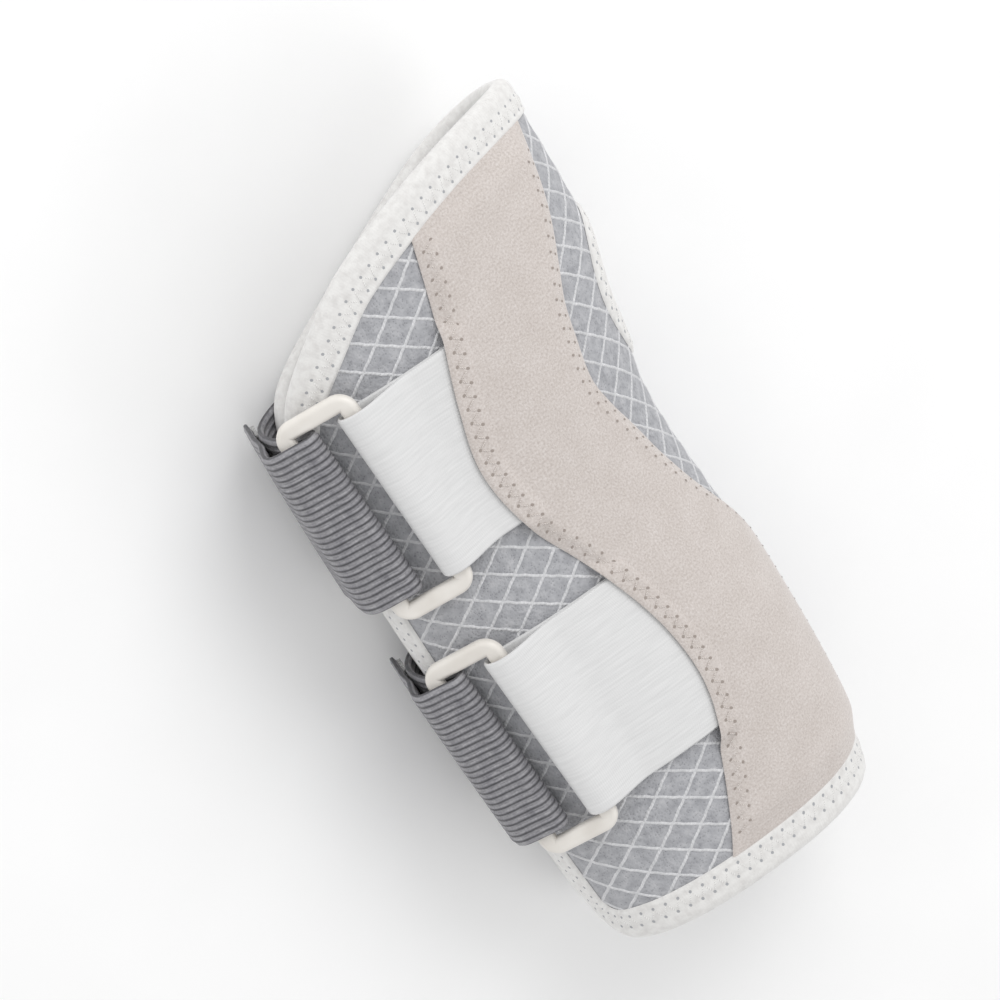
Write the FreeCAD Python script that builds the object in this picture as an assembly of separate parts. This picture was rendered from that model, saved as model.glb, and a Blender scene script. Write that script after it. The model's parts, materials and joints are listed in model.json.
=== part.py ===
import FreeCAD, Part
import bisect
import math
import os

# Wrist splint for the left hand, lying on its palmar side. Millimetres.
# +Y points to the fingers, +X to the thumb (radial) side, +Z to the back of the hand (dorsal).
# The flat underside of the palmar stay pocket rests on z = 0.

os.makedirs("parts", exist_ok=True)
V = FreeCAD.Vector

# ---- driving dimensions -------------------------------------------------------------------------
# The sleeve's outer surface, as (y, value) tables: side extents, dorsal height, height of the sides.
RADIAL_X = [(-100, 33.5), (-70, 38), (-20, 38.5), (20, 36.5), (45, 41), (65, 45), (105, 45.5)]
ULNAR_X = [(-100, -42), (-60, -45), (-10, -47.5), (55, -48), (105, -44)]
DORSAL_Z = [(-100, 55), (-40, 54), (15, 50), (60, 50), (105, 50)]
SIDE_Z = 28.0
CREST_X = 2.0
BASE_Z = 4.3
BASE_HALF_WIDTH = 17.0
DORSAL_ROUNDNESS = 2.3
PALMAR_ROUNDNESS = 2.6

# Edges, with the girth counted in quarters: -1 ulnar side, 0 dorsal crest, 1 radial side, 2 palm, 3 ulnar side.
HAND_RIM = [(-1, 58), (-0.83, 71), (-0.62, 82), (-0.38, 92), (0, 100), (0.4, 104.5), (0.8, 105), (1.2, 101),
            (1.6, 94), (2, 84), (2.4, 73), (2.8, 62), (3, 58)]
FOREARM_Y = -90.5
SPLIT_GAP = 0.6
PALMAR_EDGE = 2.78

# Layers of the wall, from the outer surface inwards, with a hair of clearance between them.
MESH = 0.7
FOAM = 2.25
LINING = 0.55
LAYER_GAP = 0.05
WALL = MESH + FOAM + LINING + 2 * LAYER_GAP

BINDING_WIDTH = 7.0
BINDING_THICKNESS = 0.8
BINDING_CLEARANCE = 0.12
BINDING_END_GAP = 1.4

# Beige cover on the back of the sleeve: (y, quarter) of its two edges.
COVER_ULNAR_EDGE = [(-88, -0.3), (-76, -0.19), (-55, -0.045), (-38, 0.025), (-20, -0.01), (0, -0.12),
                    (17, -0.245), (35, -0.295), (52, -0.24), (73, -0.13), (95, -0.03)]
COVER_RADIAL_EDGE = [(-88, 0.94), (-30, 0.93), (-15, 0.8), (-3, 0.66), (10, 0.56), (20, 0.5), (29, 0.43),
                     (37, 0.39), (48, 0.415), (58, 0.45), (78, 0.62), (97, 0.73)]
COVER_THICKNESS = 0.7
COVER_LIFT = 1.7
COVER_RIM_MARGIN = 7.6
COVER_CLEARANCE = 0.3
COVER_RAMP = 0.08
COVER_END_RAMP = 0.05
TAB_BUMP_MARGIN = 7.0
TAB_BUMP_RAMP = 6.0
TAB_BUMP_SPARE = 0.7
TUCK_MARGIN = 0.1
TUCK_RAMP = 0.08
DORSAL_STAY_WIDTH = 6.0
DORSAL_STAY_THICKNESS = 1.0
DORSAL_STAY_CLEARANCE = 0.12
DORSAL_STAY_QUARTERS = {"ulnar": 0.155, "radial": 0.285}
DORSAL_STAY_Y = (-78.5, 84.0)

THUMB_Y = 50.0
THUMB_HALF_LENGTH = 16.0
THUMB_HALF_HEIGHT = 0.22
THUMB_BINDING_WIDTH = 4.5
THUMB_PLUG_X = (26.0, 53.0)
THUMB_PLUG_REACH = 3.0

PALMAR_STAY = (24.0, 146.0, 1.5)
STAY_CLEARANCE = 0.3
STAY_END_FLAT = 3.0
STAY_TIP_LENGTH = 12.0
STAY_TIP_THICKNESS = 0.25
STAY_START_Y = -82.3
POCKET_WIDTH = 33.0
POCKET_FLOOR = 0.8
POCKET_END_WALL = 3.0
POCKET_TOP_CLEARANCE = 0.1
POCKET_END_Y = (-82.9, 67.5)

STRAP_WIDTH = 47.2
STRAP_THICKNESS = 1.6
TAB_THICKNESS = 1.0
STRAP_CENTRE_Y = {1: 42.6, 2: -28.6}
TAB_BAR_QUARTER = {1: -0.575, 2: -0.585}
TAB_BAR_TILT = 0.02
TAB_TUCK = 0.06
TAB_CLEARANCE = 0.25
TAB_LAYER_GAP = 0.1
TAB_UNDER_LEAD = 0.14
TAB_OVER_LEAD = 0.24

BUCKLE_LENGTH = 59.0
BUCKLE_ACROSS = 22.0
BUCKLE_BAR = 4.6
BUCKLE_THICKNESS = 3.2
BUCKLE_CORNER = 5.0
BUCKLE_ROUND = 1.35
TAB_BAR_STANDOFF = 4.9
STRAP_BAR_STANDOFF = 5.7
FOLD_CLEARANCE = 0.25
STRAP_FOLD_LEAD = 4.2
SWING_CLEARANCE = 0.1

RUN_HEIGHT = 2.5
RUN_FOLD_START = -78
RUN_END_QUARTER = -1.13
RUN_LIFT_QUARTER = -0.93
ANCHOR_QUARTERS = (-1.26, -1.52)
ANCHOR_HEIGHT = 1.9
TAIL_HEIGHT = 4.6
TAIL_CLEARANCE = 0.35
TAIL_LANDING_QUARTER = -1.06
TAIL_LEAVING_QUARTER = -1.15
TAIL_TIP_LENGTH = 10.5
TAIL_TIP_WAY = V(0.22, 0, -1).normalize()
RIBBON_STEPS = 40
HOOK_THICKNESS = 0.9
HOOK_LENGTH = 9.0
HOOK_MARGIN = 1.0
HOOK_CLEARANCE = 0.05


# ---- the sleeve's surface -----------------------------------------------------------------------
def smooth(table, t):
    """Value at t of a smooth curve through a short table of (position, value)."""
    places = [place for place, value in table]
    values = [value for place, value in table]
    slopes = []
    for i in range(len(table)):
        before = max(i - 1, 0)
        after = min(i + 1, len(table) - 1)
        slopes.append((values[after] - values[before]) / (places[after] - places[before]))
    i = min(max(bisect.bisect_right(places, t) - 1, 0), len(table) - 2)
    span = places[i + 1] - places[i]
    s = (t - places[i]) / span
    if s < 0:
        return values[0] + slopes[0] * (t - places[0])
    if s > 1:
        return values[-1] + slopes[-1] * (t - places[-1])
    return (values[i] * (1 + 2 * s) * (1 - s) ** 2 + values[i + 1] * s * s * (3 - 2 * s)
            + span * (slopes[i] * s * (1 - s) ** 2 - slopes[i + 1] * s * s * (1 - s)))


def quarter_arc(centre, reach, roundness, lead=0.0, steps=90):
    """Superellipse quarter from its top (or bottom) point to its side point, with a flat lead-in."""
    points = []
    if lead:
        points.append((centre[0] - lead, centre[1] + reach[1]))
    for i in range(steps + 1):
        angle = math.pi / 2 * i / steps
        x = centre[0] + reach[0] * math.sin(angle) ** (2 / roundness)
        z = centre[1] + reach[1] * math.cos(angle) ** (2 / roundness)
        points.append((x, z))
    lengths = [0.0]
    for (x0, z0), (x1, z1) in zip(points, points[1:]):
        lengths.append(lengths[-1] + math.hypot(x1 - x0, z1 - z0))
    return points, lengths


SECTIONS = {}


def section(y):
    """The four quarters of the sleeve's outline at y, each from its top or bottom to its side."""
    key = round(y, 3)
    if key not in SECTIONS:
        radial = smooth(RADIAL_X, y)
        ulnar = smooth(ULNAR_X, y)
        rise = smooth(DORSAL_Z, y) - SIDE_Z
        drop = BASE_Z - SIDE_Z
        flat = BASE_HALF_WIDTH
        SECTIONS[key] = (
            quarter_arc((CREST_X, SIDE_Z), (ulnar - CREST_X, rise), DORSAL_ROUNDNESS),
            quarter_arc((CREST_X, SIDE_Z), (radial - CREST_X, rise), DORSAL_ROUNDNESS),
            quarter_arc((flat, SIDE_Z), (radial - flat, drop), PALMAR_ROUNDNESS, lead=flat),
            quarter_arc((-flat, SIDE_Z), (ulnar + flat, drop), PALMAR_ROUNDNESS, lead=-flat),
        )
    return SECTIONS[key]


def quarter_of(a):
    """Which quarter the girth coordinate is in, and how far along it from its top or bottom."""
    if a > 3:
        a = a - 4
    if a < -1:
        a = a + 4
    if a < 0:
        return 0, -a
    if a <= 1:
        return 1, a
    if a <= 2:
        return 2, 2 - a
    return 3, a - 2


def on_outline(y, a):
    index, share = quarter_of(a)
    points, lengths = section(y)[index]
    along = share * lengths[-1]
    i = min(max(bisect.bisect_right(lengths, along) - 1, 0), len(points) - 2)
    s = (along - lengths[i]) / (lengths[i + 1] - lengths[i])
    return (points[i][0] + s * (points[i + 1][0] - points[i][0]),
            points[i][1] + s * (points[i + 1][1] - points[i][1]))


def girth_scale(y, a):
    """Millimetres round the girth per unit of the girth coordinate."""
    return section(y)[quarter_of(a)[0]][1][-1]


def sleeve(y, a, height=0.0):
    """Point at y and girth coordinate a, this far outside the sleeve's outer surface."""
    x, z = on_outline(y, a)
    step = 0.012
    x0, z0 = on_outline(y, a - step)
    x1, z1 = on_outline(y, a + step)
    length = math.hypot(x1 - x0, z1 - z0)
    return V(x - (z1 - z0) / length * height, y, z + (x1 - x0) / length * height)


# ---- building blocks ----------------------------------------------------------------------------
def face_through(grid):
    surface = Part.BSplineSurface()
    surface.interpolate(grid)
    return surface.toShape()


def side_face(edge_a, edge_b):
    """Face between two matching edges: flat where they lie in one plane across the sleeve, else ruled."""
    box = edge_a.BoundBox
    box.add(edge_b.BoundBox)
    if box.YLength > 0.001:
        return Part.makeRuledSurface(edge_a, edge_b)
    caps = [Part.makeLine(edge_a.Vertexes[i].Point, edge_b.Vertexes[i].Point) for i in (0, -1)]
    return Part.Face(Part.Wire(Part.__sortEdges__([edge_a, edge_b] + caps)))


def slab(grid_a, grid_b):
    """Closed solid between two grids of points."""
    face_a = face_through(grid_a)
    face_b = face_through(grid_b)
    faces = [face_a, face_b]
    for edge_a, edge_b in zip(face_a.Edges, face_b.Edges):
        faces.append(side_face(edge_a, edge_b))
    shell = Part.makeShell(faces)
    shell.sewShape()
    solid = Part.makeSolid(shell)
    if solid.Volume < 0:
        solid.reverse()
    return solid


def spread(low, high, count):
    return [low + (high - low) * i / (count - 1) for i in range(count)]


def panel(low_y, high_y, low_a, high_a, depth_in, depth_out, rows=26, columns=32):
    """Sheet between two depths. Its ends are functions of a, its sides are functions of y."""
    grids = []
    for depth in (depth_in, depth_out):
        grid = []
        for t in spread(0, 1, rows):
            row = []
            for s in spread(0, 1, columns):
                middle_y = low_y(0) + t * (high_y(0) - low_y(0))
                a = low_a(middle_y) + s * (high_a(middle_y) - low_a(middle_y))
                y = low_y(a) + t * (high_y(a) - low_y(a))
                a = low_a(y) + s * (high_a(y) - low_a(y))
                row.append(sleeve(y, a, depth(y, a, s, t) if callable(depth) else depth))
            grid.append(row)
        grids.append(grid)
    return slab(*grids)


def bridge(start, way_out, end, way_in, count=12):
    """Points of a smooth curve from start to end, both left out, with the given ways at its ends."""
    reach = (end - start).Length
    way_out = V(way_out).normalize() * reach
    way_in = V(way_in).normalize() * reach
    points = []
    for t in spread(0, 1, count)[1:-1]:
        points.append(start * ((1 + 2 * t) * (1 - t) ** 2) + way_out * (t * (1 - t) ** 2)
                      + end * (t * t * (3 - 2 * t)) - way_in * (t * t * (1 - t)))
    return points


def evenly(points, count):
    """The same path with its points evenly spaced."""
    lengths = [0.0]
    for p, q in zip(points, points[1:]):
        lengths.append(lengths[-1] + (q - p).Length)
    path = []
    for along in spread(0, lengths[-1], count):
        i = min(max(bisect.bisect_right(lengths, along) - 1, 0), len(points) - 2)
        s = (along - lengths[i]) / (lengths[i + 1] - lengths[i])
        path.append(points[i] + (points[i + 1] - points[i]) * s)
    return path


def ribbon(paths, thickness):
    """Strip of even thickness whose middle follows the given paths, one path per station in y."""
    grids = ([], [])
    for path in paths:
        sides = ([], [])
        for i, point in enumerate(path):
            before = path[max(i - 1, 0)]
            after = path[min(i + 1, len(path) - 1)]
            normal = V(after.z - before.z, 0, before.x - after.x).normalize() * (thickness / 2)
            sides[0].append(point + normal)
            sides[1].append(point - normal)
        grids[0].append(sides[0])
        grids[1].append(sides[1])
    return slab(*grids)


def binding(edge, inward, width):
    """U-shaped tape folded over the wall's edge. edge lists (y, a); inward gives the unit way into the wall."""
    half = WALL / 2
    grids = []
    for offset in (BINDING_CLEARANCE, BINDING_CLEARANCE + BINDING_THICKNESS):
        profile = []
        for w in spread(width, 1.0, 6):
            profile.append((w, offset))
        for turn in spread(0, math.pi, 8):
            profile.append((-(half + offset) * math.sin(turn), (half + offset) * math.cos(turn) - half))
        for w in spread(1.0, width, 6):
            profile.append((w, -WALL - offset))
        grid = []
        for (y, a), (dy, dg) in zip(edge, inward):
            scale = girth_scale(y, a)
            grid.append([sleeve(y + w * dy, a + w * dg / scale, height) for w, height in profile])
        grids.append(grid)
    return slab(*grids)


def inward_ways(edge, side):
    """Unit ways at right angles to an edge line on the sleeve, towards the given side."""
    ways = []
    for i, (y, a) in enumerate(edge):
        y0, a0 = edge[max(i - 1, 0)]
        y1, a1 = edge[min(i + 1, len(edge) - 1)]
        dy = y1 - y0
        dg = (a1 - a0) * girth_scale(y, a)
        length = math.hypot(dy, dg)
        ways.append((-side * dg / length, side * dy / length))
    return ways


def placed(shape, origin, along_x, along_y, along_z):
    matrix = FreeCAD.Matrix(along_x.x, along_y.x, along_z.x, origin.x,
                            along_x.y, along_y.y, along_z.y, origin.y,
                            along_x.z, along_y.z, along_z.z, origin.z,
                            0, 0, 0, 1)
    return shape.transformed(matrix)


def save(name, shape):
    if not shape.isValid():
        print("invalid", name)
    print(name, len(shape.Solids), round(shape.Volume))
    shape.exportStep("parts/" + name + ".step")


# ---- edges of the two halves --------------------------------------------------------------------
def hand_rim(a):
    return smooth(HAND_RIM, a)


def forearm_rim(a):
    return FOREARM_Y


def dorsal_ulnar_side(y):
    return -1.0


def dorsal_radial_side(y):
    return 1 - SPLIT_GAP / 2 / girth_scale(y, 0.9)


def palmar_radial_side(y):
    return 1 + SPLIT_GAP / 2 / girth_scale(y, 1.1)


def palmar_ulnar_side(y):
    return PALMAR_EDGE


DORSAL_SIDES = (dorsal_ulnar_side, dorsal_radial_side)
PALMAR_SIDES = (palmar_radial_side, palmar_ulnar_side)


# ---- wall layers and the thumb hole -------------------------------------------------------------
def thumb_point(turn, grow, height):
    y = THUMB_Y + (THUMB_HALF_LENGTH + grow) * math.cos(turn)
    scale = girth_scale(y, 1.1)
    a = 1 + (THUMB_HALF_HEIGHT + grow / scale) * math.sin(turn)
    return sleeve(y, a, height)


def thumb_cutter():
    """Oval plug through the wall, square to it, with a flat face at each end."""
    rings = []
    inner = (-WALL - THUMB_PLUG_REACH, THUMB_PLUG_X[0])
    outer = (THUMB_PLUG_REACH, THUMB_PLUG_X[1])
    for height, flat_x in (inner, (-WALL, None), (0.0, None), outer):
        points = [thumb_point(turn, 0.0, height) for turn in spread(0, 2 * math.pi, 25)[:-1]]
        if flat_x:
            points = [V(flat_x, point.y, point.z) for point in points]
        curve = Part.BSplineCurve()
        curve.interpolate(Points=points, PeriodicFlag=True)
        rings.append(Part.Wire(curve.toShape()))
    plug = Part.makeLoft(rings, True, True)
    if plug.Volume < 0:
        plug.reverse()
    return plug


def wall_layers(half, sides, plug):
    depth = 0.0
    for layer, thickness in (("mesh", MESH), ("foam", FOAM), ("lining", LINING)):
        sheet = panel(forearm_rim, hand_rim, sides[0], sides[1], depth - thickness, depth)
        save(half + "_" + layer, sheet.cut(plug))
        depth -= thickness + LAYER_GAP


def thumb_binding(half, turns):
    """Half of the oval tape round the thumb hole."""
    edge = []
    inward = []
    for turn in turns:
        y = THUMB_Y + THUMB_HALF_LENGTH * math.cos(turn)
        scale = girth_scale(y, 1.1)
        edge.append((y, 1 + THUMB_HALF_HEIGHT * math.sin(turn)))
        dy = math.cos(turn) / THUMB_HALF_LENGTH
        dg = math.sin(turn) / (THUMB_HALF_HEIGHT * scale)
        length = math.hypot(dy, dg)
        inward.append((dy / length, dg / length))
    save("thumb_binding_" + half, binding(edge, inward, THUMB_BINDING_WIDTH))


def edge_bindings(half, sides, ulnar_side, ulnar_way):
    margin = BINDING_WIDTH + BINDING_END_GAP
    low = sides[0](0)
    high = sides[1](0)
    for name, rim, way in (("hand", hand_rim, -1), ("forearm", forearm_rim, 1)):
        edge = [(rim(a), a) for a in spread(low, high, 38)]
        edge[0] = (rim(sides[0](rim(low))), sides[0](rim(low)))
        edge[-1] = (rim(sides[1](rim(high))), sides[1](rim(high)))
        ways = inward_ways(edge, way)
        if ways[len(ways) // 2][0] * way < 0:
            ways = [(-dy, -dg) for dy, dg in ways]
        ways[0] = (ways[0][0], 0.0) if half == "palmar" else ways[0]
        ways[-1] = (ways[-1][0], 0.0) if half == "dorsal" else ways[-1]
        save(half + "_binding_" + name, binding(edge, ways, BINDING_WIDTH))
    a = ulnar_side(0)
    reach = spread(FOREARM_Y + margin, hand_rim(a) - margin, 20)
    edge = [(y, a) for y in reach]
    save(half + "_binding_ulnar", binding(edge, [(0.0, ulnar_way)] * len(edge), BINDING_WIDTH))


# ---- straps, tabs and buckles -------------------------------------------------------------------
class Closure:
    """Places of one buckle: the tab bar, the strap bar and the ways along and across them."""

    def __init__(self, number):
        centre = STRAP_CENTRE_Y[number]
        quarter = TAB_BAR_QUARTER[number]
        half = STRAP_WIDTH / 2
        ends = []
        for side in (-1, 1):
            ends.append(sleeve(centre + side * half, quarter - side * TAB_BAR_TILT, TAB_BAR_STANDOFF))
        self.number = number
        self.along = (ends[1] - ends[0]).normalize()
        self.tab_bar = (ends[0] + ends[1]) * 0.5
        spacing = BUCKLE_ACROSS - BUCKLE_BAR
        while (sleeve(centre, quarter, STRAP_BAR_STANDOFF) - self.tab_bar).Length < spacing:
            quarter -= 0.002
        across = sleeve(centre, quarter, STRAP_BAR_STANDOFF) - self.tab_bar
        across = (across - self.along * across.dot(self.along)).normalize()
        self.across = across
        self.outward = self.along.cross(across)
        if self.outward.z < 0:
            self.outward = self.outward * -1
        self.strap_bar = self.tab_bar + across * spacing
        self.peel_axis = self.strap_bar - across * STRAP_FOLD_LEAD
        self.tab_fold = self.tab_bar + across * (BUCKLE_BAR / 2 - BUCKLE_THICKNESS / 2)
        self.stations = spread(centre - half, centre + half, 4)

    def shifted(self, point, y):
        """The point moved along the bars until it is at y."""
        return point + self.along * ((y - point.y) / self.along.y)


def buckle(place):
    """Flat rectangular ring with rounded outer corners and rounded bars."""
    x0 = -BUCKLE_BAR / 2
    plate = Part.makeBox(BUCKLE_ACROSS, BUCKLE_LENGTH, BUCKLE_THICKNESS,
                         V(x0, -BUCKLE_LENGTH / 2, -BUCKLE_THICKNESS / 2))
    upright = [edge for edge in plate.Edges if abs(edge.tangentAt(edge.FirstParameter).z) > 0.9]
    plate = plate.makeFillet(BUCKLE_CORNER, upright)
    window = Part.makeBox(BUCKLE_ACROSS - 2 * BUCKLE_BAR, BUCKLE_LENGTH - 2 * BUCKLE_BAR, BUCKLE_THICKNESS,
                          V(x0 + BUCKLE_BAR, -BUCKLE_LENGTH / 2 + BUCKLE_BAR, -BUCKLE_THICKNESS / 2))
    ring = plate.cut(window)
    flat = [edge for edge in ring.Edges if abs(abs(edge.CenterOfMass.z) - BUCKLE_THICKNESS / 2) < 0.01]
    ring = ring.makeFillet(BUCKLE_ROUND, flat)
    return placed(ring, place.tab_bar, place.across, place.along, place.outward)


def fold_round(place, middle, towards_window, radius, start, end, y):
    """Half turn of a folded ribbon, on its bar's window side."""
    centre = place.shifted(middle, y)
    points = []
    for turn in spread(math.radians(start), math.radians(end), 25):
        point = centre + towards_window * (radius * math.cos(turn)) + place.outward * (radius * math.sin(turn))
        points.append(V(point.x, y, point.z))
    return points


def along_sleeve(y, start, end, height, count=24):
    return [sleeve(y, a, height) for a in spread(start, end, count)]


def tab(place):
    """Elastic loop from under the beige cover, round the buckle's tab bar and back under the cover."""
    radius = BUCKLE_BAR / 2 + SWING_CLEARANCE + TAB_THICKNESS / 2
    lower = TAB_CLEARANCE + TAB_THICKNESS / 2
    upper = lower + TAB_THICKNESS + TAB_LAYER_GAP
    bar_quarter = TAB_BAR_QUARTER[place.number]
    paths = []
    for y in place.stations:
        tuck = smooth(COVER_ULNAR_EDGE, y) + TAB_TUCK
        under = along_sleeve(y, tuck, bar_quarter + TAB_UNDER_LEAD, lower)
        turn = fold_round(place, place.tab_fold, place.across, radius, -60, 75, y)
        over = along_sleeve(y, bar_quarter + TAB_OVER_LEAD, tuck, upper)
        path = under + bridge(under[-1], under[-1] - under[-2], turn[0], turn[1] - turn[0]) + turn
        path += bridge(turn[-1], turn[-1] - turn[-2], over[0], over[1] - over[0]) + over
        paths.append(evenly(path, RIBBON_STEPS))
    return ribbon(paths, TAB_THICKNESS)


def strap_run(place):
    """Strap from the open ulnar side up under the strap bar, round it and back over its top."""
    radius = BUCKLE_THICKNESS / 2 + FOLD_CLEARANCE + STRAP_THICKNESS / 2
    window_way = place.across * -1
    paths = []
    for y in place.stations:
        side = along_sleeve(y, RUN_END_QUARTER, RUN_LIFT_QUARTER, RUN_HEIGHT)
        turn = fold_round(place, place.peel_axis, window_way, radius, RUN_FOLD_START, 96, y)
        path = side + bridge(side[-1], side[-1] - side[-2], turn[0], turn[1] - turn[0]) + turn
        paths.append(evenly(path, RIBBON_STEPS))
    return ribbon(paths, STRAP_THICKNESS)


def strap_tail(place):
    """Free end of the strap, from over the strap bar round the ulnar side towards the palm."""
    radius = BUCKLE_THICKNESS / 2 + FOLD_CLEARANCE + STRAP_THICKNESS * 1.5 + TAIL_CLEARANCE
    paths = []
    for y in place.stations:
        centre = place.shifted(place.peel_axis, y)
        start = [centre + place.outward * radius + place.across * step for step in (0.2, 1.0, 1.8)]
        start = [V(point.x, y, point.z) for point in start]
        side = along_sleeve(y, TAIL_LANDING_QUARTER, TAIL_LEAVING_QUARTER, TAIL_HEIGHT)
        tip = [side[-1] + TAIL_TIP_WAY * (TAIL_TIP_LENGTH * t) for t in (0.5, 1.0)]
        path = start + bridge(start[-1], place.across, side[0], side[1] - side[0]) + side + tip
        paths.append(evenly(path, RIBBON_STEPS))
    return ribbon(paths, STRAP_THICKNESS)


def hook_patch(place):
    """Hook tape on the inner face of the strap's tip."""
    inward = V(-TAIL_TIP_WAY.z, 0, TAIL_TIP_WAY.x) * ((STRAP_THICKNESS + HOOK_THICKNESS) / 2 + HOOK_CLEARANCE)
    half = STRAP_WIDTH / 2 - HOOK_MARGIN
    centre = STRAP_CENTRE_Y[place.number]
    paths = []
    for y in spread(centre - half, centre + half, 4):
        leaving = sleeve(y, TAIL_LEAVING_QUARTER, TAIL_HEIGHT) + inward
        last = TAIL_TIP_LENGTH - HOOK_MARGIN
        paths.append([leaving + TAIL_TIP_WAY * along for along in spread(last - HOOK_LENGTH, last, 4)])
    return ribbon(paths, HOOK_THICKNESS)


def strap_anchor(place):
    """End of the strap that is sewn to the palmar half, over the edge bindings."""
    paths = [along_sleeve(y, ANCHOR_QUARTERS[0], ANCHOR_QUARTERS[1], ANCHOR_HEIGHT, 10) for y in place.stations]
    return ribbon(paths, STRAP_THICKNESS)


# ---- beige cover and its stays ------------------------------------------------------------------
def cover_low_side(y):
    return smooth(COVER_ULNAR_EDGE, y)


def cover_high_side(y):
    return smooth(COVER_RADIAL_EDGE, y)


def step_up(t):
    t = min(max(t, 0.0), 1.0)
    return t * t * (3 - 2 * t)


def cover_lift(y, a, s, t):
    """Height of the cover's inner face: low at the sewn border, high over the stays and the tabs."""
    ramp = step_up(min(s, 1 - s) / COVER_RAMP) * step_up(min(t, 1 - t) / COVER_END_RAMP)
    bump = 0.0
    for centre in STRAP_CENTRE_Y.values():
        bump = max(bump, step_up((STRAP_WIDTH / 2 + TAB_BUMP_MARGIN - abs(y - centre)) / TAB_BUMP_RAMP))
    tucked = step_up((TAB_TUCK + TUCK_MARGIN - (a - cover_low_side(y))) / TUCK_RAMP)
    tab_height = 2 * TAB_THICKNESS + TAB_BUMP_SPARE
    return COVER_CLEARANCE + max(COVER_LIFT * ramp, tab_height * bump * tucked)


def cover_top(y, a, s, t):
    return cover_lift(y, a, s, t) + COVER_THICKNESS


def cover_hand_end(a):
    return hand_rim(a) - COVER_RIM_MARGIN


def cover_forearm_end(a):
    return FOREARM_Y + COVER_RIM_MARGIN


def dorsal_stay(quarter):
    half = DORSAL_STAY_WIDTH / 2
    grids = []
    for height in (DORSAL_STAY_CLEARANCE, DORSAL_STAY_CLEARANCE + DORSAL_STAY_THICKNESS):
        grid = []
        for y in spread(DORSAL_STAY_Y[0], DORSAL_STAY_Y[1], 12):
            scale = girth_scale(y, 0.5)
            grid.append([sleeve(y, quarter + across / scale, height) for across in spread(-half, half, 6)])
        grids.append(grid)
    return slab(*grids)


# ---- palmar stay and its pocket -----------------------------------------------------------------
def stay_bar(width, y0, y1, z0, z1):
    bar = Part.makeBox(width, y1 - y0, z1 - z0, V(-width / 2, y0, z0))
    upright = [edge for edge in bar.Edges if abs(edge.tangentAt(edge.FirstParameter).z) > 0.9]
    return bar.makeFillet(width / 2 - STAY_END_FLAT, upright)


def palmar_stay():
    """Aluminium bar with a vinyl cap on each end, and the pocket that it slides in."""
    width, length, thickness = PALMAR_STAY
    z0 = POCKET_FLOOR + STAY_CLEARANCE + STAY_TIP_THICKNESS
    end_y = STAY_START_Y + length
    bar = stay_bar(width - 2 * STAY_TIP_THICKNESS, STAY_START_Y, end_y, z0, z0 + thickness)
    save("palmar_stay", bar)
    skin = STAY_TIP_THICKNESS
    sleeve_bar = stay_bar(width, STAY_START_Y - skin, end_y + skin, z0 - skin, z0 + thickness + skin)
    caps = []
    for y0 in (STAY_START_Y - skin, end_y + skin - STAY_TIP_LENGTH):
        block = Part.makeBox(width + 2, STAY_TIP_LENGTH, 6, V(-width / 2 - 1, y0, 0))
        caps.append(sleeve_bar.common(block).cut(bar))
    save("palmar_stay_tips", Part.makeCompound(caps))


def stay_pocket():
    """Fabric channel under the palm side: flat floor, two seams and a closed hand end."""
    length = POCKET_END_Y[1] - POCKET_END_Y[0]
    top = BASE_Z - POCKET_TOP_CLEARANCE
    body = Part.makeBox(POCKET_WIDTH, length, top, V(-POCKET_WIDTH / 2, POCKET_END_Y[0], 0))
    hollow_width = PALMAR_STAY[0] + 2 * STAY_CLEARANCE
    hollow_start = V(-hollow_width / 2, POCKET_END_Y[0], POCKET_FLOOR)
    hollow = Part.makeBox(hollow_width, length - POCKET_END_WALL, BASE_Z, hollow_start)
    return body.cut(hollow)


# ---- the model ----------------------------------------------------------------------------------
CLOSURES = [Closure(number) for number in (1, 2)]


def build():
    plug = thumb_cutter()
    wall_layers("dorsal", DORSAL_SIDES, plug)
    wall_layers("palmar", PALMAR_SIDES, plug)
    edge_bindings("dorsal", DORSAL_SIDES, dorsal_ulnar_side, 1.0)
    edge_bindings("palmar", PALMAR_SIDES, palmar_ulnar_side, -1.0)
    thumb_binding("dorsal", spread(math.pi + 0.02, 2 * math.pi - 0.02, 24))
    thumb_binding("palmar", spread(0.02, math.pi - 0.02, 24))
    save("dorsal_cover", panel(cover_forearm_end, cover_hand_end, cover_low_side, cover_high_side,
                               cover_lift, cover_top, rows=48, columns=34))
    for name, quarter in DORSAL_STAY_QUARTERS.items():
        save("dorsal_stay_" + name, dorsal_stay(quarter))
    palmar_stay()
    save("palmar_stay_pocket", stay_pocket())
    for place in CLOSURES:
        tail = "_" + str(place.number)
        save("buckle" + tail, buckle(place))
        save("tab" + tail, tab(place))
        save("strap_run" + tail, strap_run(place))
        save("strap_tail" + tail, strap_tail(place))
        save("strap_anchor" + tail, strap_anchor(place))
        save("hook_patch" + tail, hook_patch(place))


build()
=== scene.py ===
import json
import math

import bmesh
import bpy
import numpy as np
from mathutils import Matrix, Vector


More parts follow.
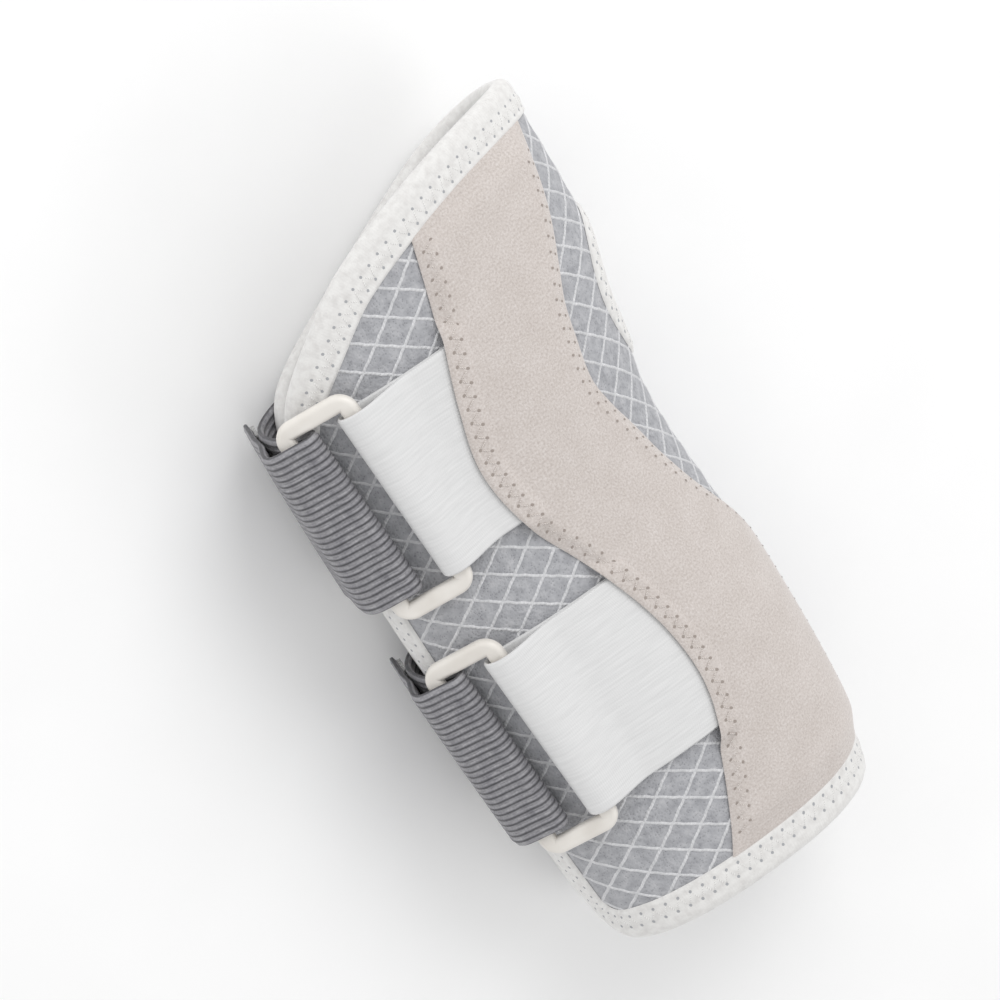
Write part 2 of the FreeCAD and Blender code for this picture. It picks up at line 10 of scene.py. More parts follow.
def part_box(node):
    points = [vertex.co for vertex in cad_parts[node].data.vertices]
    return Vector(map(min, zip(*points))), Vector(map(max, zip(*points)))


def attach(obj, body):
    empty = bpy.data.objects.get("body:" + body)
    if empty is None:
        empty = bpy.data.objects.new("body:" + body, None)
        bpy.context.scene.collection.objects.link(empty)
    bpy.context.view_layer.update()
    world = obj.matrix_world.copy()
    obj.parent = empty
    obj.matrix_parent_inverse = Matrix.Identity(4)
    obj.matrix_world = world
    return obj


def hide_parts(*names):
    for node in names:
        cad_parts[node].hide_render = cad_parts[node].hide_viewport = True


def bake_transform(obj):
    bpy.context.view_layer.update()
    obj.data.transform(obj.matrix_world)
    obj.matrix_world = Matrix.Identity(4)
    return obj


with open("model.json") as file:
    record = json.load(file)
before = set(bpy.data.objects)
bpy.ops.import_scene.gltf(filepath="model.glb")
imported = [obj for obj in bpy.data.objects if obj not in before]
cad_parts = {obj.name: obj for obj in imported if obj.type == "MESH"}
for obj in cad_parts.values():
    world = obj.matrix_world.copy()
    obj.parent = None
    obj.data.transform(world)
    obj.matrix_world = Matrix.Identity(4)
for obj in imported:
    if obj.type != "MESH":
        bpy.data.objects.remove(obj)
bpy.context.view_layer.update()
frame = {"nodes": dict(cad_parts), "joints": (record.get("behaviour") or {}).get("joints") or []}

# Lengths are in millimetres in this script, and become metres where a mesh is made.
# +Y points to the fingers, +X to the thumb, +Z to the back of the hand; the girth is counted in quarters:
# -1 little-finger side, 0 back of the hand, 1 thumb side, 2 palm, 3 little-finger side again.
MM = 0.001

# ---- the sleeve, as the CAD has it ----------------------------------------------------------------
RADIAL_X = [(-100, 33.5), (-70, 38), (-20, 38.5), (20, 36.5), (45, 41), (65, 45), (105, 45.5)]
ULNAR_X = [(-100, -42), (-60, -45), (-10, -47.5), (55, -48), (105, -44)]
DORSAL_Z = [(-100, 55), (-40, 54), (15, 50), (60, 50), (105, 50)]
SIDE_Z = 28.0
CREST_X = 2.0
BASE_Z = 4.3
BASE_HALF_WIDTH = 17.0
DORSAL_ROUNDNESS = 2.3
PALMAR_ROUNDNESS = 2.6
HAND_RIM = [(-1, 58), (-0.83, 71), (-0.62, 82), (-0.38, 92), (0, 100), (0.4, 104.5), (0.8, 105), (1.2, 101),
            (1.6, 94), (2, 84), (2.4, 73), (2.8, 62), (3, 58)]
FOREARM_Y = -90.5
ULNAR_EDGES = (-1.0, 2.78)
CORNER_RADIUS = 12.0
MESH = 0.7
FOAM = 2.25
LINING = 0.55
LAYER_GAP = 0.05
WALL = MESH + FOAM + LINING + 2 * LAYER_GAP
QUARTER_GIRTH = 58.0

THUMB_Y = 50.0
THUMB_HALF_LENGTH = 16.0
THUMB_HALF_HEIGHT = 0.22

COVER_ULNAR_EDGE = [(-88, -0.3), (-76, -0.19), (-55, -0.045), (-38, 0.025), (-20, -0.01), (0, -0.12),
                    (17, -0.245), (35, -0.295), (52, -0.24), (73, -0.13), (95, -0.03)]
COVER_RADIAL_EDGE = [(-88, 0.94), (-30, 0.93), (-15, 0.8), (-3, 0.66), (10, 0.56), (20, 0.5), (29, 0.43),
                     (37, 0.39), (48, 0.415), (58, 0.45), (78, 0.62), (97, 0.73)]
COVER_RIM_MARGIN = 6.6
COVER_THICKNESS = 0.7

STRAP_WIDTH = 47.2
STRAP_THICKNESS = 1.6
TAB_THICKNESS = 1.0
TAB_CLEARANCE = 0.25
TAB_LAYER_GAP = 0.1
TAB_TUCK = 0.06
STRAP_CENTRE_Y = {1: 42.6, 2: -28.6}
TAB_BAR_QUARTER = {1: -0.575, 2: -0.585}
BUCKLE_BAR = 4.6
BUCKLE_THICKNESS = 3.2
RIB_PITCH = 1.69


def smooth(table, t):
    """Values at t of a smooth curve through a short table of (position, value)."""
    places, values = np.array(table, float).T
    slopes = np.empty_like(values)
    slopes[1:-1] = (values[2:] - values[:-2]) / (places[2:] - places[:-2])
    slopes[0] = (values[1] - values[0]) / (places[1] - places[0])
    slopes[-1] = (values[-1] - values[-2]) / (places[-1] - places[-2])
    t = np.asarray(t, float)
    i = np.clip(np.searchsorted(places, t, side="right") - 1, 0, len(places) - 2)
    span = places[i + 1] - places[i]
    s = (t - places[i]) / span
    curve = (values[i] * (1 + 2 * s) * (1 - s) ** 2 + values[i + 1] * s * s * (3 - 2 * s)
             + span * (slopes[i] * s * (1 - s) ** 2 - slopes[i + 1] * s * s * (1 - s)))
    curve = np.where(s < 0, values[0] + slopes[0] * (t - places[0]), curve)
    return np.where(s > 1, values[-1] + slopes[-1] * (t - places[-1]), curve)


ARC = np.linspace(0, math.pi / 2, 61)
NORMAL_STEP = 0.012


def outline(y, a):
    """x and z of the sleeve's outline at each y and girth coordinate, and that quarter's length."""
    a = np.where(a > 3, a - 4, a)
    a = np.where(a < -1, a + 4, a)
    quarter = np.where(a < 0, 0, np.where(a <= 1, 1, np.where(a <= 2, 2, 3)))
    share = np.choose(quarter, [-a, a, 2 - a, a - 2])
    dorsal = quarter < 2
    side = np.where((quarter == 1) | (quarter == 2), smooth(RADIAL_X, y), smooth(ULNAR_X, y))
    centre = np.choose(quarter, [CREST_X, CREST_X, BASE_HALF_WIDTH, -BASE_HALF_WIDTH])
    lead = np.where(dorsal, CREST_X, 0.0)
    rise = np.where(dorsal, smooth(DORSAL_Z, y), BASE_Z) - SIDE_Z
    power = np.where(dorsal, 2 / DORSAL_ROUNDNESS, 2 / PALMAR_ROUNDNESS)[:, None]
    x = centre[:, None] + (side - centre)[:, None] * np.sin(ARC) ** power
    z = SIDE_Z + rise[:, None] * np.cos(ARC) ** power
    x = np.concatenate([lead[:, None], x], 1)
    z = np.concatenate([z[:, :1], z], 1)
    lengths = np.cumsum(np.hypot(np.diff(x), np.diff(z)), 1)
    lengths = np.concatenate([np.zeros((len(x), 1)), lengths], 1)
    along = share * lengths[:, -1]
    i = np.clip((lengths <= along[:, None]).sum(1) - 1, 0, x.shape[1] - 2)
    row = np.arange(len(x))
    s = (along - lengths[row, i]) / (lengths[row, i + 1] - lengths[row, i])
    return (x[row, i] + s * (x[row, i + 1] - x[row, i]), z[row, i] + s * (z[row, i + 1] - z[row, i]),
            lengths[:, -1])


def sleeve(y, a, height=0.0):
    """Points at y and girth coordinate a, this far outside the sleeve's outer surface."""
    y, a, height = np.broadcast_arrays(np.asarray(y, float), a, height)
    shape = y.shape
    y, a, height = y.ravel(), a.ravel(), height.ravel()
    points = []
    for first in range(0, len(y), 20000):
        part = slice(first, first + 20000)
        x, z, _ = outline(y[part], a[part])
        x0, z0, _ = outline(y[part], a[part] - NORMAL_STEP)
        x1, z1, _ = outline(y[part], a[part] + NORMAL_STEP)
        length = np.hypot(x1 - x0, z1 - z0)
        h = height[part]
        points.append(np.stack([x - (z1 - z0) / length * h, y[part], z + (x1 - x0) / length * h], -1))
    return np.concatenate(points).reshape(shape + (3,))


def girth_scale(y, a):
    """Millimetres round the girth per quarter."""
    y, a = np.broadcast_arrays(np.asarray(y, float), a)
    return outline(y.ravel(), a.ravel())[2].reshape(y.shape)


def unit(v):
    return v / np.maximum(np.linalg.norm(v, axis=-1, keepdims=True), 1e-9)


def step_up(t):
    t = np.clip(t, 0, 1)
    return t * t * (3 - 2 * t)


# ---- meshes ---------------------------------------------------------------------------------------
class Skin:
    """Points, faces and UVs of one piece while it is put together. UVs are in millimetres."""

    def __init__(self):
        self.points = []
        self.faces = []
        self.uvs = []
        self.count = 0

    def add(self, points, faces, corner_uvs):
        self.points.append(points.reshape(-1, 3))
        self.faces += (faces + self.count).tolist()
        self.uvs.append(corner_uvs.reshape(-1, 2))
        self.count += len(self.points[-1])

    def piece(self, name, material, crease=50):
        mesh = bpy.data.meshes.new(name)
        mesh.from_pydata((np.concatenate(self.points) * MM).tolist(), [], self.faces)
        layer = mesh.uv_layers.new(name="UVMap")
        layer.data.foreach_set("uv", np.concatenate(self.uvs).astype(np.float32).ravel())
        tidy = bmesh.new()
        tidy.from_mesh(mesh)
        bmesh.ops.recalc_face_normals(tidy, faces=tidy.faces)
        tidy.to_mesh(mesh)
        tidy.free()
        mesh.polygons.foreach_set("use_smooth", [True] * len(mesh.polygons))
        mesh.set_sharp_from_angle(angle=math.radians(crease))
        mesh.materials.append(material)
        piece = bpy.data.objects.new(name, mesh)
        bpy.context.scene.collection.objects.link(piece)
        return piece


def grid_faces(rows, columns):
    index = np.arange(rows * columns).reshape(rows, columns)
    return np.stack([index[:-1, :-1], index[:-1, 1:], index[1:, 1:], index[1:, :-1]], -1).reshape(-1, 4)


def add_sheet(skin, outer, inner, uv, keep=None):
    """Closed skin between two matching grids, walled along every free edge."""
    count = outer.shape[0] * outer.shape[1]
    quads = grid_faces(*outer.shape[:2])
    if keep is not None:
        quads = quads[keep.ravel()]
    edges = np.concatenate([quads[:, [k, (k + 1) % 4]] for k in range(4)])
    keys = edges.min(1) * count + edges.max(1)
    _, first, uses = np.unique(keys, return_index=True, return_counts=True)
    rim = edges[first[uses == 1]]
    walls = np.stack([rim[:, 1], rim[:, 0], rim[:, 0] + count, rim[:, 1] + count], -1)
    faces = np.concatenate([quads, quads[:, ::-1] + count, walls])
    points = np.concatenate([outer.reshape(-1, 3), inner.reshape(-1, 3)])
    uvs = np.concatenate([uv.reshape(-1, 2), uv.reshape(-1, 2)])
    used, flat = np.unique(faces, return_inverse=True)
    faces = flat.reshape(faces.shape)
    skin.add(points[used], faces, uvs[used][faces])


def add_tube(skin, rings, along, around, closed=False):
    """Tube through rings of points (ring, point, xyz). along and around are its UVs, one longer if closed."""
    count, sides = rings.shape[:2]
    spans = count if closed else count - 1
    ring, side = np.meshgrid(np.arange(spans), np.arange(sides), indexing="ij")
    corners = ((0, 0), (0, 1), (1, 1), (1, 0))
    faces = np.stack([((ring + i) % count) * sides + (side + j) % sides for i, j in corners], -1)
    faces = faces.reshape(-1, 4)
    u = np.stack([along[ring + i] for i, j in corners], -1)
    v = np.stack([around[side + j] for i, j in corners], -1)
    skin.add(rings, faces, np.stack([u, v], -1))
    if not closed:
        for end, order in ((0, -1), (count - 1, 1)):
            cap = (np.arange(sides) + end * sides)[::order][None]
            skin.faces += (cap + skin.count - count * sides).tolist()
            skin.uvs.append(np.stack([np.full(sides, along[end]), around[:sides][::order]], -1))


def add_threads(skin, starts, ends, normals, radius=0.24, arch=0.22):
    """Short stitches from starts to ends, arched along the normals, with tapered ends in the fabric."""
    sides, steps = 6, 5
    way = unit(ends - starts)
    across = unit(np.cross(normals, way))
    t = np.linspace(0.06, 0.94, steps)[None, :, None]
    middle = starts[:, None] * (1 - t) + ends[:, None] * t
    middle = middle + normals[:, None] * (arch * np.sin(math.pi * t) - radius * 0.5)
    thick = radius * np.sin(math.pi * t) ** 0.35
    turn = np.linspace(0, 2 * math.pi, sides, endpoint=False)
    rings = (middle[:, :, None] + across[:, None, None] * (thick[..., None] * np.cos(turn)[:, None])
             + normals[:, None, None] * (thick[..., None] * np.sin(turn)[:, None]))
    tips = np.stack([starts, ends], 1) - normals[:, None] * radius
    number = len(starts)
    block = np.concatenate([rings.reshape(number, -1, 3), tips], 1)
    body = []
    for i in range(steps - 1):
        for j in range(sides):
            k = (j + 1) % sides
            body.append((i * sides + j, i * sides + k, (i + 1) * sides + k, (i + 1) * sides + j))
    tip = steps * sides
    ends_faces = []
    for j in range(sides):
        k = (j + 1) % sides
        ends_faces.append((tip, k, j))
        ends_faces.append((tip + 1, (steps - 1) * sides + j, (steps - 1) * sides + k))
    offsets = (np.arange(number) * block.shape[1])[:, None, None]
    quads = (np.array(body)[None] + offsets).reshape(-1, 4)
    triangles = (np.array(ends_faces)[None] + offsets).reshape(-1, 3)
    length = np.linalg.norm(ends - starts, axis=1)[:, None]
    u = np.concatenate([np.repeat(t.reshape(1, -1), number, 0).repeat(sides, 1) * length,
                        np.zeros((number, 1)), length], 1)
    v = np.concatenate([np.tile(turn * radius, (number, steps)), np.zeros((number, 2))], 1)
    uv = np.stack([u, v], -1).reshape(-1, 2)
    skin.add(block, quads, uv[quads])
    skin.faces += (triangles + skin.count - number * block.shape[1]).tolist()
    skin.uvs.append(uv[triangles].reshape(-1, 2))


def add_hole_shade_dots(skin, centres, normals, ways, radius=0.42, height=0.05):
    """Flat lens-shaped discs that carry the painted shade of needle holes."""
    sides = 8
    turn = np.linspace(0, 2 * math.pi, sides, endpoint=False)
    across = unit(np.cross(normals, ways))
    ring = (centres[:, None] + ways[:, None] * (radius * np.cos(turn)[:, None])
            + across[:, None] * (radius * 0.8 * np.sin(turn)[:, None]))
    tips = np.stack([centres + normals * height, centres - normals * height * 3], 1)
    block = np.concatenate([ring, tips], 1)
    faces = []
    for j in range(sides):
        k = (j + 1) % sides
        faces.append((sides, j, k))
        faces.append((sides + 1, k, j))
    faces = (np.array(faces)[None] + (np.arange(len(centres)) * (sides + 2))[:, None, None]).reshape(-1, 3)
    skin.add(block, faces, np.zeros((len(faces), 3, 2)))


def evenly(points, count):
    """The same paths (path, point, xyz) with evenly spaced points."""
    made = []
    for path in points:
        lengths = np.concatenate([[0], np.cumsum(np.linalg.norm(np.diff(path, axis=0), axis=1))])
        at = np.linspace(0, lengths[-1], count)
        made.append(np.stack([np.interp(at, lengths, path[:, k]) for k in range(path.shape[1])], -1))
    return np.array(made)


# ---- materials ------------------------------------------------------------------------------------
def linear(red, green, blue):
    """Linear colour of an 8-bit sRGB one."""
    return tuple(((c / 255 + 0.055) / 1.055) ** 2.4 for c in (red, green, blue)) + (1.0,)


class Paint:
    """Node material with a Principled shader. Its textures take the piece's UVs, in millimetres."""

    def __init__(self, name, space="UV", **sockets):
        self.material = bpy.data.materials.new(name)
        self.material.use_nodes = True
        self.tree = self.material.node_tree
        self.shader = self.tree.nodes["Principled BSDF"]
        for socket, value in sockets.items():
            self.shader.inputs[socket.replace("_", " ")].default_value = value
        self.place = self.node("ShaderNodeTexCoord").outputs[space]
        self.unit = 1.0 if space == "UV" else 1 / MM

    def node(self, kind, inputs=(), **settings):
        node = self.tree.nodes.new(kind)
        for name, value in settings.items():
            setattr(node, name, value)
        for name, value in dict(inputs).items():
            if isinstance(value, bpy.types.NodeSocket):
                self.tree.links.new(value, node.inputs[name])
            else:
                node.inputs[name].default_value = value
        return node

    def link(self, output, socket):
        self.tree.links.new(output, self.shader.inputs[socket])

    def scaled(self, x=1.0, y=1.0, z=1.0, turn=0.0):
        scale = (x * self.unit, y * self.unit, z * self.unit)
        mapping = self.node("ShaderNodeMapping", {"Vector": self.place, "Scale": scale})
        mapping.inputs["Rotation"].default_value = (0, 0, turn)
        return mapping.outputs["Vector"]

    def noise(self, size, detail=3.0, stretch=(1.0, 1.0), roughness=0.55):
        place = self.scaled(1 / (size * stretch[0]), 1 / (size * stretch[1]), 1 / size)
        noise = self.node("ShaderNodeTexNoise", {"Vector": place, "Scale": 1.0, "Detail": detail,
                                                 "Roughness": roughness})
        return noise.outputs["Fac"]

    def cells(self, size, stretch=(1.0, 1.0)):
        place = self.scaled(1 / (size * stretch[0]), 1 / (size * stretch[1]), 1 / size)
        return self.node("ShaderNodeTexVoronoi", {"Vector": place, "Scale": 1.0}).outputs["Distance"]

    def waves(self, pitch, turn=0.0, distortion=0.0):
        """Ribs of this pitch across u, or across v with a quarter turn."""
        scale = math.tau / 20 / pitch
        wave = self.node("ShaderNodeTexWave", {"Vector": self.scaled(scale, scale, scale, turn), "Scale": 1.0,
                                               "Distortion": distortion, "Detail": 2.0})
        return wave.outputs["Fac"]

    def math(self, operation, a, b=0.0):
        node = self.node("ShaderNodeMath", operation=operation)
        for i, value in enumerate((a, b)):
            if isinstance(value, bpy.types.NodeSocket):
                self.tree.links.new(value, node.inputs[i])
            else:
                node.inputs[i].default_value = value
        return node.outputs[0]

    def ramp(self, factor, *stops):
        """Colour ramp from (position, colour) stops."""
        node = self.node("ShaderNodeValToRGB", {"Fac": factor})
        elements = node.color_ramp.elements
        while len(elements) < len(stops):
            elements.new(0.5)
        for element, (position, colour) in zip(elements, stops):
            element.position = position
            element.color = colour
        return node.outputs["Color"]

    def mix(self, factor, a, b, blend="MIX"):
        node = self.node("ShaderNodeMix", data_type="RGBA", blend_type=blend)
        for name, value in (("Factor_Float", factor), ("A_Color", a), ("B_Color", b)):
            socket = next(s for s in node.inputs if s.identifier == name)
            if isinstance(value, bpy.types.NodeSocket):
                self.tree.links.new(value, socket)
            else:
                socket.default_value = value
        return next(s for s in node.outputs if s.identifier == "Result_Color")

    def relief(self, height, distance, strength=1.0, under=None):
        inputs = {"Height": height, "Distance": distance * MM, "Strength": strength}
        if under is not None:
            inputs["Normal"] = under
        return self.node("ShaderNodeBump", inputs).outputs["Normal"]

    def done(self, colour, normal, roughness=None):
        self.link(colour, "Base Color")
        self.link(normal, "Normal")
        if roughness is not None:
            self.link(roughness, "Roughness")
        return self.material


def mesh_fabric():
    """Mottled grey spacer knit with small open stitches, darkened with painted shade."""
    paint = Paint("mesh_fabric", Roughness=0.85, Sheen_Weight=0.15, Sheen_Roughness=0.5)
    stitches = paint.cells(0.62, (1.0, 1.25))
    mottle = paint.noise(2.6, 4.0)
    fine = paint.noise(0.9, 3.0, (1.5, 0.8))
    body = paint.ramp(mottle, (0.3, linear(141, 142, 147)), (0.55, linear(166, 167, 171)),
                      (0.75, linear(184, 184, 187)))
    body = paint.mix(paint.math("MULTIPLY", fine, 0.35), body, linear(196, 196, 199))
    # Painted shade: the open stitches are darkened in the colour, where the knit's openings lie in shade.
    hole_shade = paint.ramp(stitches, (0.0, linear(120, 121, 126)), (0.35, linear(255, 255, 255)))
    colour = paint.mix(0.55, body, hole_shade, "MULTIPLY")
    normal = paint.relief(stitches, 0.25, 0.7)
    normal = paint.relief(mottle, 0.5, 0.35, normal)
    return paint.done(colour, normal)


def lattice_yarn():
    """Light twisted yarn of the diamond lattice."""
    paint = Paint("lattice_yarn", Roughness=0.7, Sheen_Weight=0.2, Sheen_Roughness=0.4)
    twist = paint.waves(0.8, 0.6, 1.0)
    wear = paint.noise(3.0, 3.0)
    colour = paint.ramp(wear, (0.25, linear(188, 189, 191)), (0.7, linear(224, 224, 226)))
    colour = paint.mix(paint.math("MULTIPLY", twist, 0.3), colour, linear(188, 188, 191))
    return paint.done(colour, paint.relief(twist, 0.12, 0.8))


def cover_fabric():
    """Beige brushed laminate: short pile with a fine speckle."""
    paint = Paint("cover_fabric", Roughness=0.9, Sheen_Weight=0.35, Sheen_Roughness=0.45)
    speckle = paint.noise(0.6, 4.0, roughness=0.7)
    broad = paint.noise(9.0, 3.0)
    pile = paint.noise(0.32, 3.0, (1.3, 0.9))
    colour = paint.ramp(speckle, (0.3, linear(184, 175, 170)), (0.5, linear(204, 196, 191)),
                        (0.7, linear(219, 213, 210)))
    shade = paint.ramp(broad, (0.3, linear(247, 246, 245)), (0.7, linear(255, 255, 255)))
    colour = paint.mix(1.0, colour, shade, "MULTIPLY")
    normal = paint.relief(speckle, 0.16, 0.5)
    normal = paint.relief(pile, 0.1, 0.5, normal)
    return paint.done(colour, normal)


def binding_tape():
    """White soft knitted tape."""
    paint = Paint("binding_tape", Roughness=0.85, Sheen_Weight=0.3, Sheen_Roughness=0.4)
    ribs = paint.waves(0.7, 0.0, 0.6)
    mottle = paint.noise(2.2, 3.0)
    fine = paint.noise(0.5, 3.0)
    colour = paint.ramp(mottle, (0.3, linear(214, 212, 210)), (0.6, linear(229, 228, 226)))
    colour = paint.mix(paint.math("MULTIPLY", fine, 0.2), colour, linear(208, 207, 207))
    normal = paint.relief(ribs, 0.05, 0.4)
    normal = paint.relief(fine, 0.14, 0.6, normal)
    return paint.done(colour, normal)


def yarn(name, dark, light):
    """Sewing thread."""
    paint = Paint(name, Roughness=0.6, Sheen_Weight=0.2)
    twist = paint.waves(0.45, 0.7, 0.4)
    colour = paint.ramp(twist, (0.2, dark), (0.8, light))
    return paint.done(colour, paint.relief(twist, 0.08, 0.7))


# Painted shade: dark grey discs that stand for the shade in needle holes and their dents.
def hole_shade_paint(name, dark, light):
    paint = Paint(name, Roughness=0.95)
    grain = paint.noise(0.6)
    return paint.done(paint.ramp(grain, (0.3, dark), (0.7, light)), paint.relief(grain, 0.1))


def tab_elastic():
    """Bright white satin elastic with fine ribs along it."""
    paint = Paint("tab_elastic", Roughness=0.42, Sheen_Weight=0.25, Sheen_Roughness=0.3)
    ribs = paint.waves(0.95, math.pi / 2, 0.25)
    picks = paint.waves(0.55, 0.0, 0.5)
    streaks = paint.noise(1.6, 4.0, (6.0, 0.5))
    colour = paint.ramp(streaks, (0.3, linear(214, 214, 214)), (0.65, linear(223, 223, 223)))
    colour = paint.mix(paint.math("MULTIPLY", picks, 0.1), colour, linear(198, 199, 200))
    colour = paint.mix(paint.math("MULTIPLY", ribs, 0.1), colour, linear(194, 195, 196))
    normal = paint.relief(ribs, 0.05, 0.5)
    normal = paint.relief(picks, 0.03, 0.5, normal)
    rough = paint.math("ADD", paint.math("MULTIPLY", streaks, 0.2), 0.32)
    return paint.done(colour, normal, rough)


def strap_elastic():
    """Heather grey elastic; its ribs are modelled, and the fine picks between them are in the material, which
    also darkens the grooves between the ribs with painted shade.
    """
    paint = Paint("strap_elastic", Roughness=0.75, Sheen_Weight=0.2, Sheen_Roughness=0.4)
    picks = paint.waves(0.9, 0.0, 1.2)
    heather = paint.noise(0.8, 4.0, (2.5, 0.6), 0.65)
    broad = paint.noise(7.0, 2.0, (0.6, 1.4))
    colour = paint.ramp(heather, (0.28, linear(128, 127, 131)), (0.5, linear(160, 159, 162)),
                        (0.72, linear(188, 187, 189)))
    colour = paint.mix(paint.math("MULTIPLY", picks, 0.15), colour, linear(112, 111, 116))
    # Painted shade: the grooves between the modelled ribs are darkened in the colour.
    ribs = paint.waves(RIB_PITCH, math.pi / 2)
    groove_shade = paint.ramp(ribs, (0.0, linear(84, 84, 88)), (0.42, linear(228, 228, 230)),
                         (0.8, linear(255, 255, 255)))
    colour = paint.mix(0.85, colour, groove_shade, "MULTIPLY")
    shade = paint.ramp(broad, (0.3, linear(225, 225, 228)), (0.7, linear(255, 255, 255)))
    colour = paint.mix(1.0, colour, shade, "MULTIPLY")
    normal = paint.relief(picks, 0.08, 0.5)
    normal = paint.relief(heather, 0.1, 0.5, normal)
    return paint.done(colour, normal)


def buckle_plastic():
    """Off-white moulded acetal with a faint mould grain."""
    paint = Paint("buckle_plastic", "Object", Roughness=0.4, Coat_Weight=0.1, Coat_Roughness=0.3)
    grain = paint.noise(0.7, 3.0)
    cloud = paint.noise(9.0, 2.0)
    colour = paint.ramp(cloud, (0.35, linear(221, 216, 209)), (0.65, linear(232, 228, 222)))
    rough = paint.math("ADD", paint.math("MULTIPLY", grain, 0.2), 0.3)
    return paint.done(colour, paint.relief(grain, 0.03, 0.5), rough)


def simple_fabric(name, dark, light, size=0.6, space="UV"):
    """Plain knit or felt with a visible stitch."""
    paint = Paint(name, space, Roughness=0.92, Sheen_Weight=0.2)
    stitches = paint.cells(size)
    mottle = paint.noise(size * 5, 3.0)
    colour = paint.ramp(mottle, (0.3, dark), (0.7, light))
    colour = paint.mix(paint.math("MULTIPLY", stitches, 0.4), light, colour)
    return paint.done(colour, paint.relief(stitches, 0.2, 0.7))


def hook_tape():
    """Moulded hooks in close rows."""
    paint = Paint("hook_tape", "Object", Roughness=0.5)
    hooks = paint.cells(0.75)
    colour = paint.ramp(hooks, (0.1, linear(236, 236, 234)), (0.5, linear(176, 176, 175)))
    return paint.done(colour, paint.relief(hooks, 0.6, 1.0))


def brushed_aluminium():
    paint = Paint("palmar_stay_metal", "Object", Metallic=1.0, Roughness=0.35)
    lines = paint.noise(0.35, 4.0, (1.0, 40.0))
    colour = paint.ramp(lines, (0.3, linear(176, 178, 181)), (0.7, linear(204, 205, 207)))
    rough = paint.math("ADD", paint.math("MULTIPLY", lines, 0.25), 0.25)
    return paint.done(colour, paint.relief(lines, 0.02, 0.6), rough)


def soft_plastic(name, dark, light, rough):
    """Dipped or moulded plastic with a light grain."""
    paint = Paint(name, "Object", Roughness=rough)
    grain = paint.noise(0.9, 3.0)
    cloud = paint.noise(8.0, 2.0)
    colour = paint.ramp(cloud, (0.3, dark), (0.7, light))
    return paint.done(colour, paint.relief(grain, 0.05, 0.6))


MESH_FABRIC = mesh_fabric()
LATTICE_YARN = lattice_yarn()
COVER_FABRIC = cover_fabric()
BINDING_TAPE = binding_tape()
WHITE_THREAD = yarn("white_thread", linear(205, 204, 202), linear(240, 239, 237))
BEIGE_THREAD = yarn("beige_thread", linear(186, 177, 171), linear(222, 215, 210))
GREY_THREAD = yarn("grey_thread", linear(96, 95, 99), linear(140, 139, 143))
# Painted shade of the needle holes in the tape and in the cover.
TAPE_HOLE_SHADE = hole_shade_paint("tape_needle_hole_shade", linear(146, 148, 152), linear(180, 181, 184))
COVER_HOLE_SHADE = hole_shade_paint("cover_needle_hole_shade", linear(140, 130, 124), linear(170, 160, 153))
TAB_ELASTIC = tab_elastic()
STRAP_ELASTIC = strap_elastic()
BUCKLE_PLASTIC = buckle_plastic()
LINING_FABRIC = simple_fabric("lining_fabric", linear(196, 195, 194), linear(222, 221, 220), 0.55)
FOAM_CORE = simple_fabric("foam_core", linear(206, 204, 196), linear(226, 225, 219), 0.9)
POCKET_FABRIC = simple_fabric("pocket_fabric", linear(150, 151, 155), linear(184, 184, 187), 0.6)
HOOK_TAPE = hook_tape()
STAY_METAL = brushed_aluminium()
STAY_TIP = soft_plastic("stay_tip_vinyl", linear(52, 53, 56), linear(70, 71, 74), 0.45)
DORSAL_STAY = soft_plastic("dorsal_stay_plastic", linear(226, 226, 224), linear(240, 240, 238), 0.35)


# ---- the sleeve's wall, lattice and bindings -------------------------------------------------------
def corner_inset(edge_distance):
    """How far the ends draw back at this distance from a straight ulnar edge, to round the corner."""
    inside = np.clip(CORNER_RADIUS - edge_distance, 0, CORNER_RADIUS)
    return CORNER_RADIUS - np.sqrt(CORNER_RADIUS ** 2 - inside ** 2)


def sleeve_columns(step):
    """Girth coordinates from one ulnar edge to the other, closer together at the rounded corners."""
    turn = np.linspace(0, math.pi / 2, 8)
    corner = CORNER_RADIUS * (1 - np.cos(turn)) / QUARTER_GIRTH
    low = ULNAR_EDGES[0] + corner
    high = ULNAR_EDGES[1] - corner[::-1]
    count = int((high[0] - low[-1]) * QUARTER_GIRTH / step)
    return np.concatenate([low[:-1], np.linspace(low[-1], high[0], count), high[1:]])


def sleeve_ends(a):
    """Forearm end and hand end of the sleeve at each girth coordinate."""
    edge = np.minimum(a - ULNAR_EDGES[0], ULNAR_EDGES[1] - a) * QUARTER_GIRTH
    inset = corner_inset(edge)
    return FOREARM_Y + inset, smooth(HAND_RIM, a) - inset


def in_thumb_hole(y, a, grow):
    dy = (y - THUMB_Y) / (THUMB_HALF_LENGTH + grow)
    da = (a - 1) / (THUMB_HALF_HEIGHT + grow / QUARTER_GIRTH)
    return dy * dy + da * da < 1


def wall_layer(name, top, thickness, material, step):
    """One layer of the sleeve's wall, in one piece round the thumb side."""
    a = sleeve_columns(step)
    low, high = sleeve_ends(a)
    t = np.linspace(0, 1, int(200 / step))[:, None]
    y = low + t * (high - low)
    a = np.broadcast_to(a, y.shape)
    uv = np.stack([a * QUARTER_GIRTH, y], -1)
    middle_y = (y[:-1, :-1] + y[1:, 1:]) / 2
    middle_a = (a[:-1, :-1] + a[1:, 1:]) / 2
    skin = Skin()
    add_sheet(skin, sleeve(y, a, top), sleeve(y, a, top - thickness), uv,
              ~in_thumb_hole(middle_y, middle_a, 1.2))
    return skin.piece(name, material)


LATTICE_ROUND = 11.3
LATTICE_ALONG = 8.4
YARN_WIDTH = 0.85
YARN_HEIGHT = 0.2


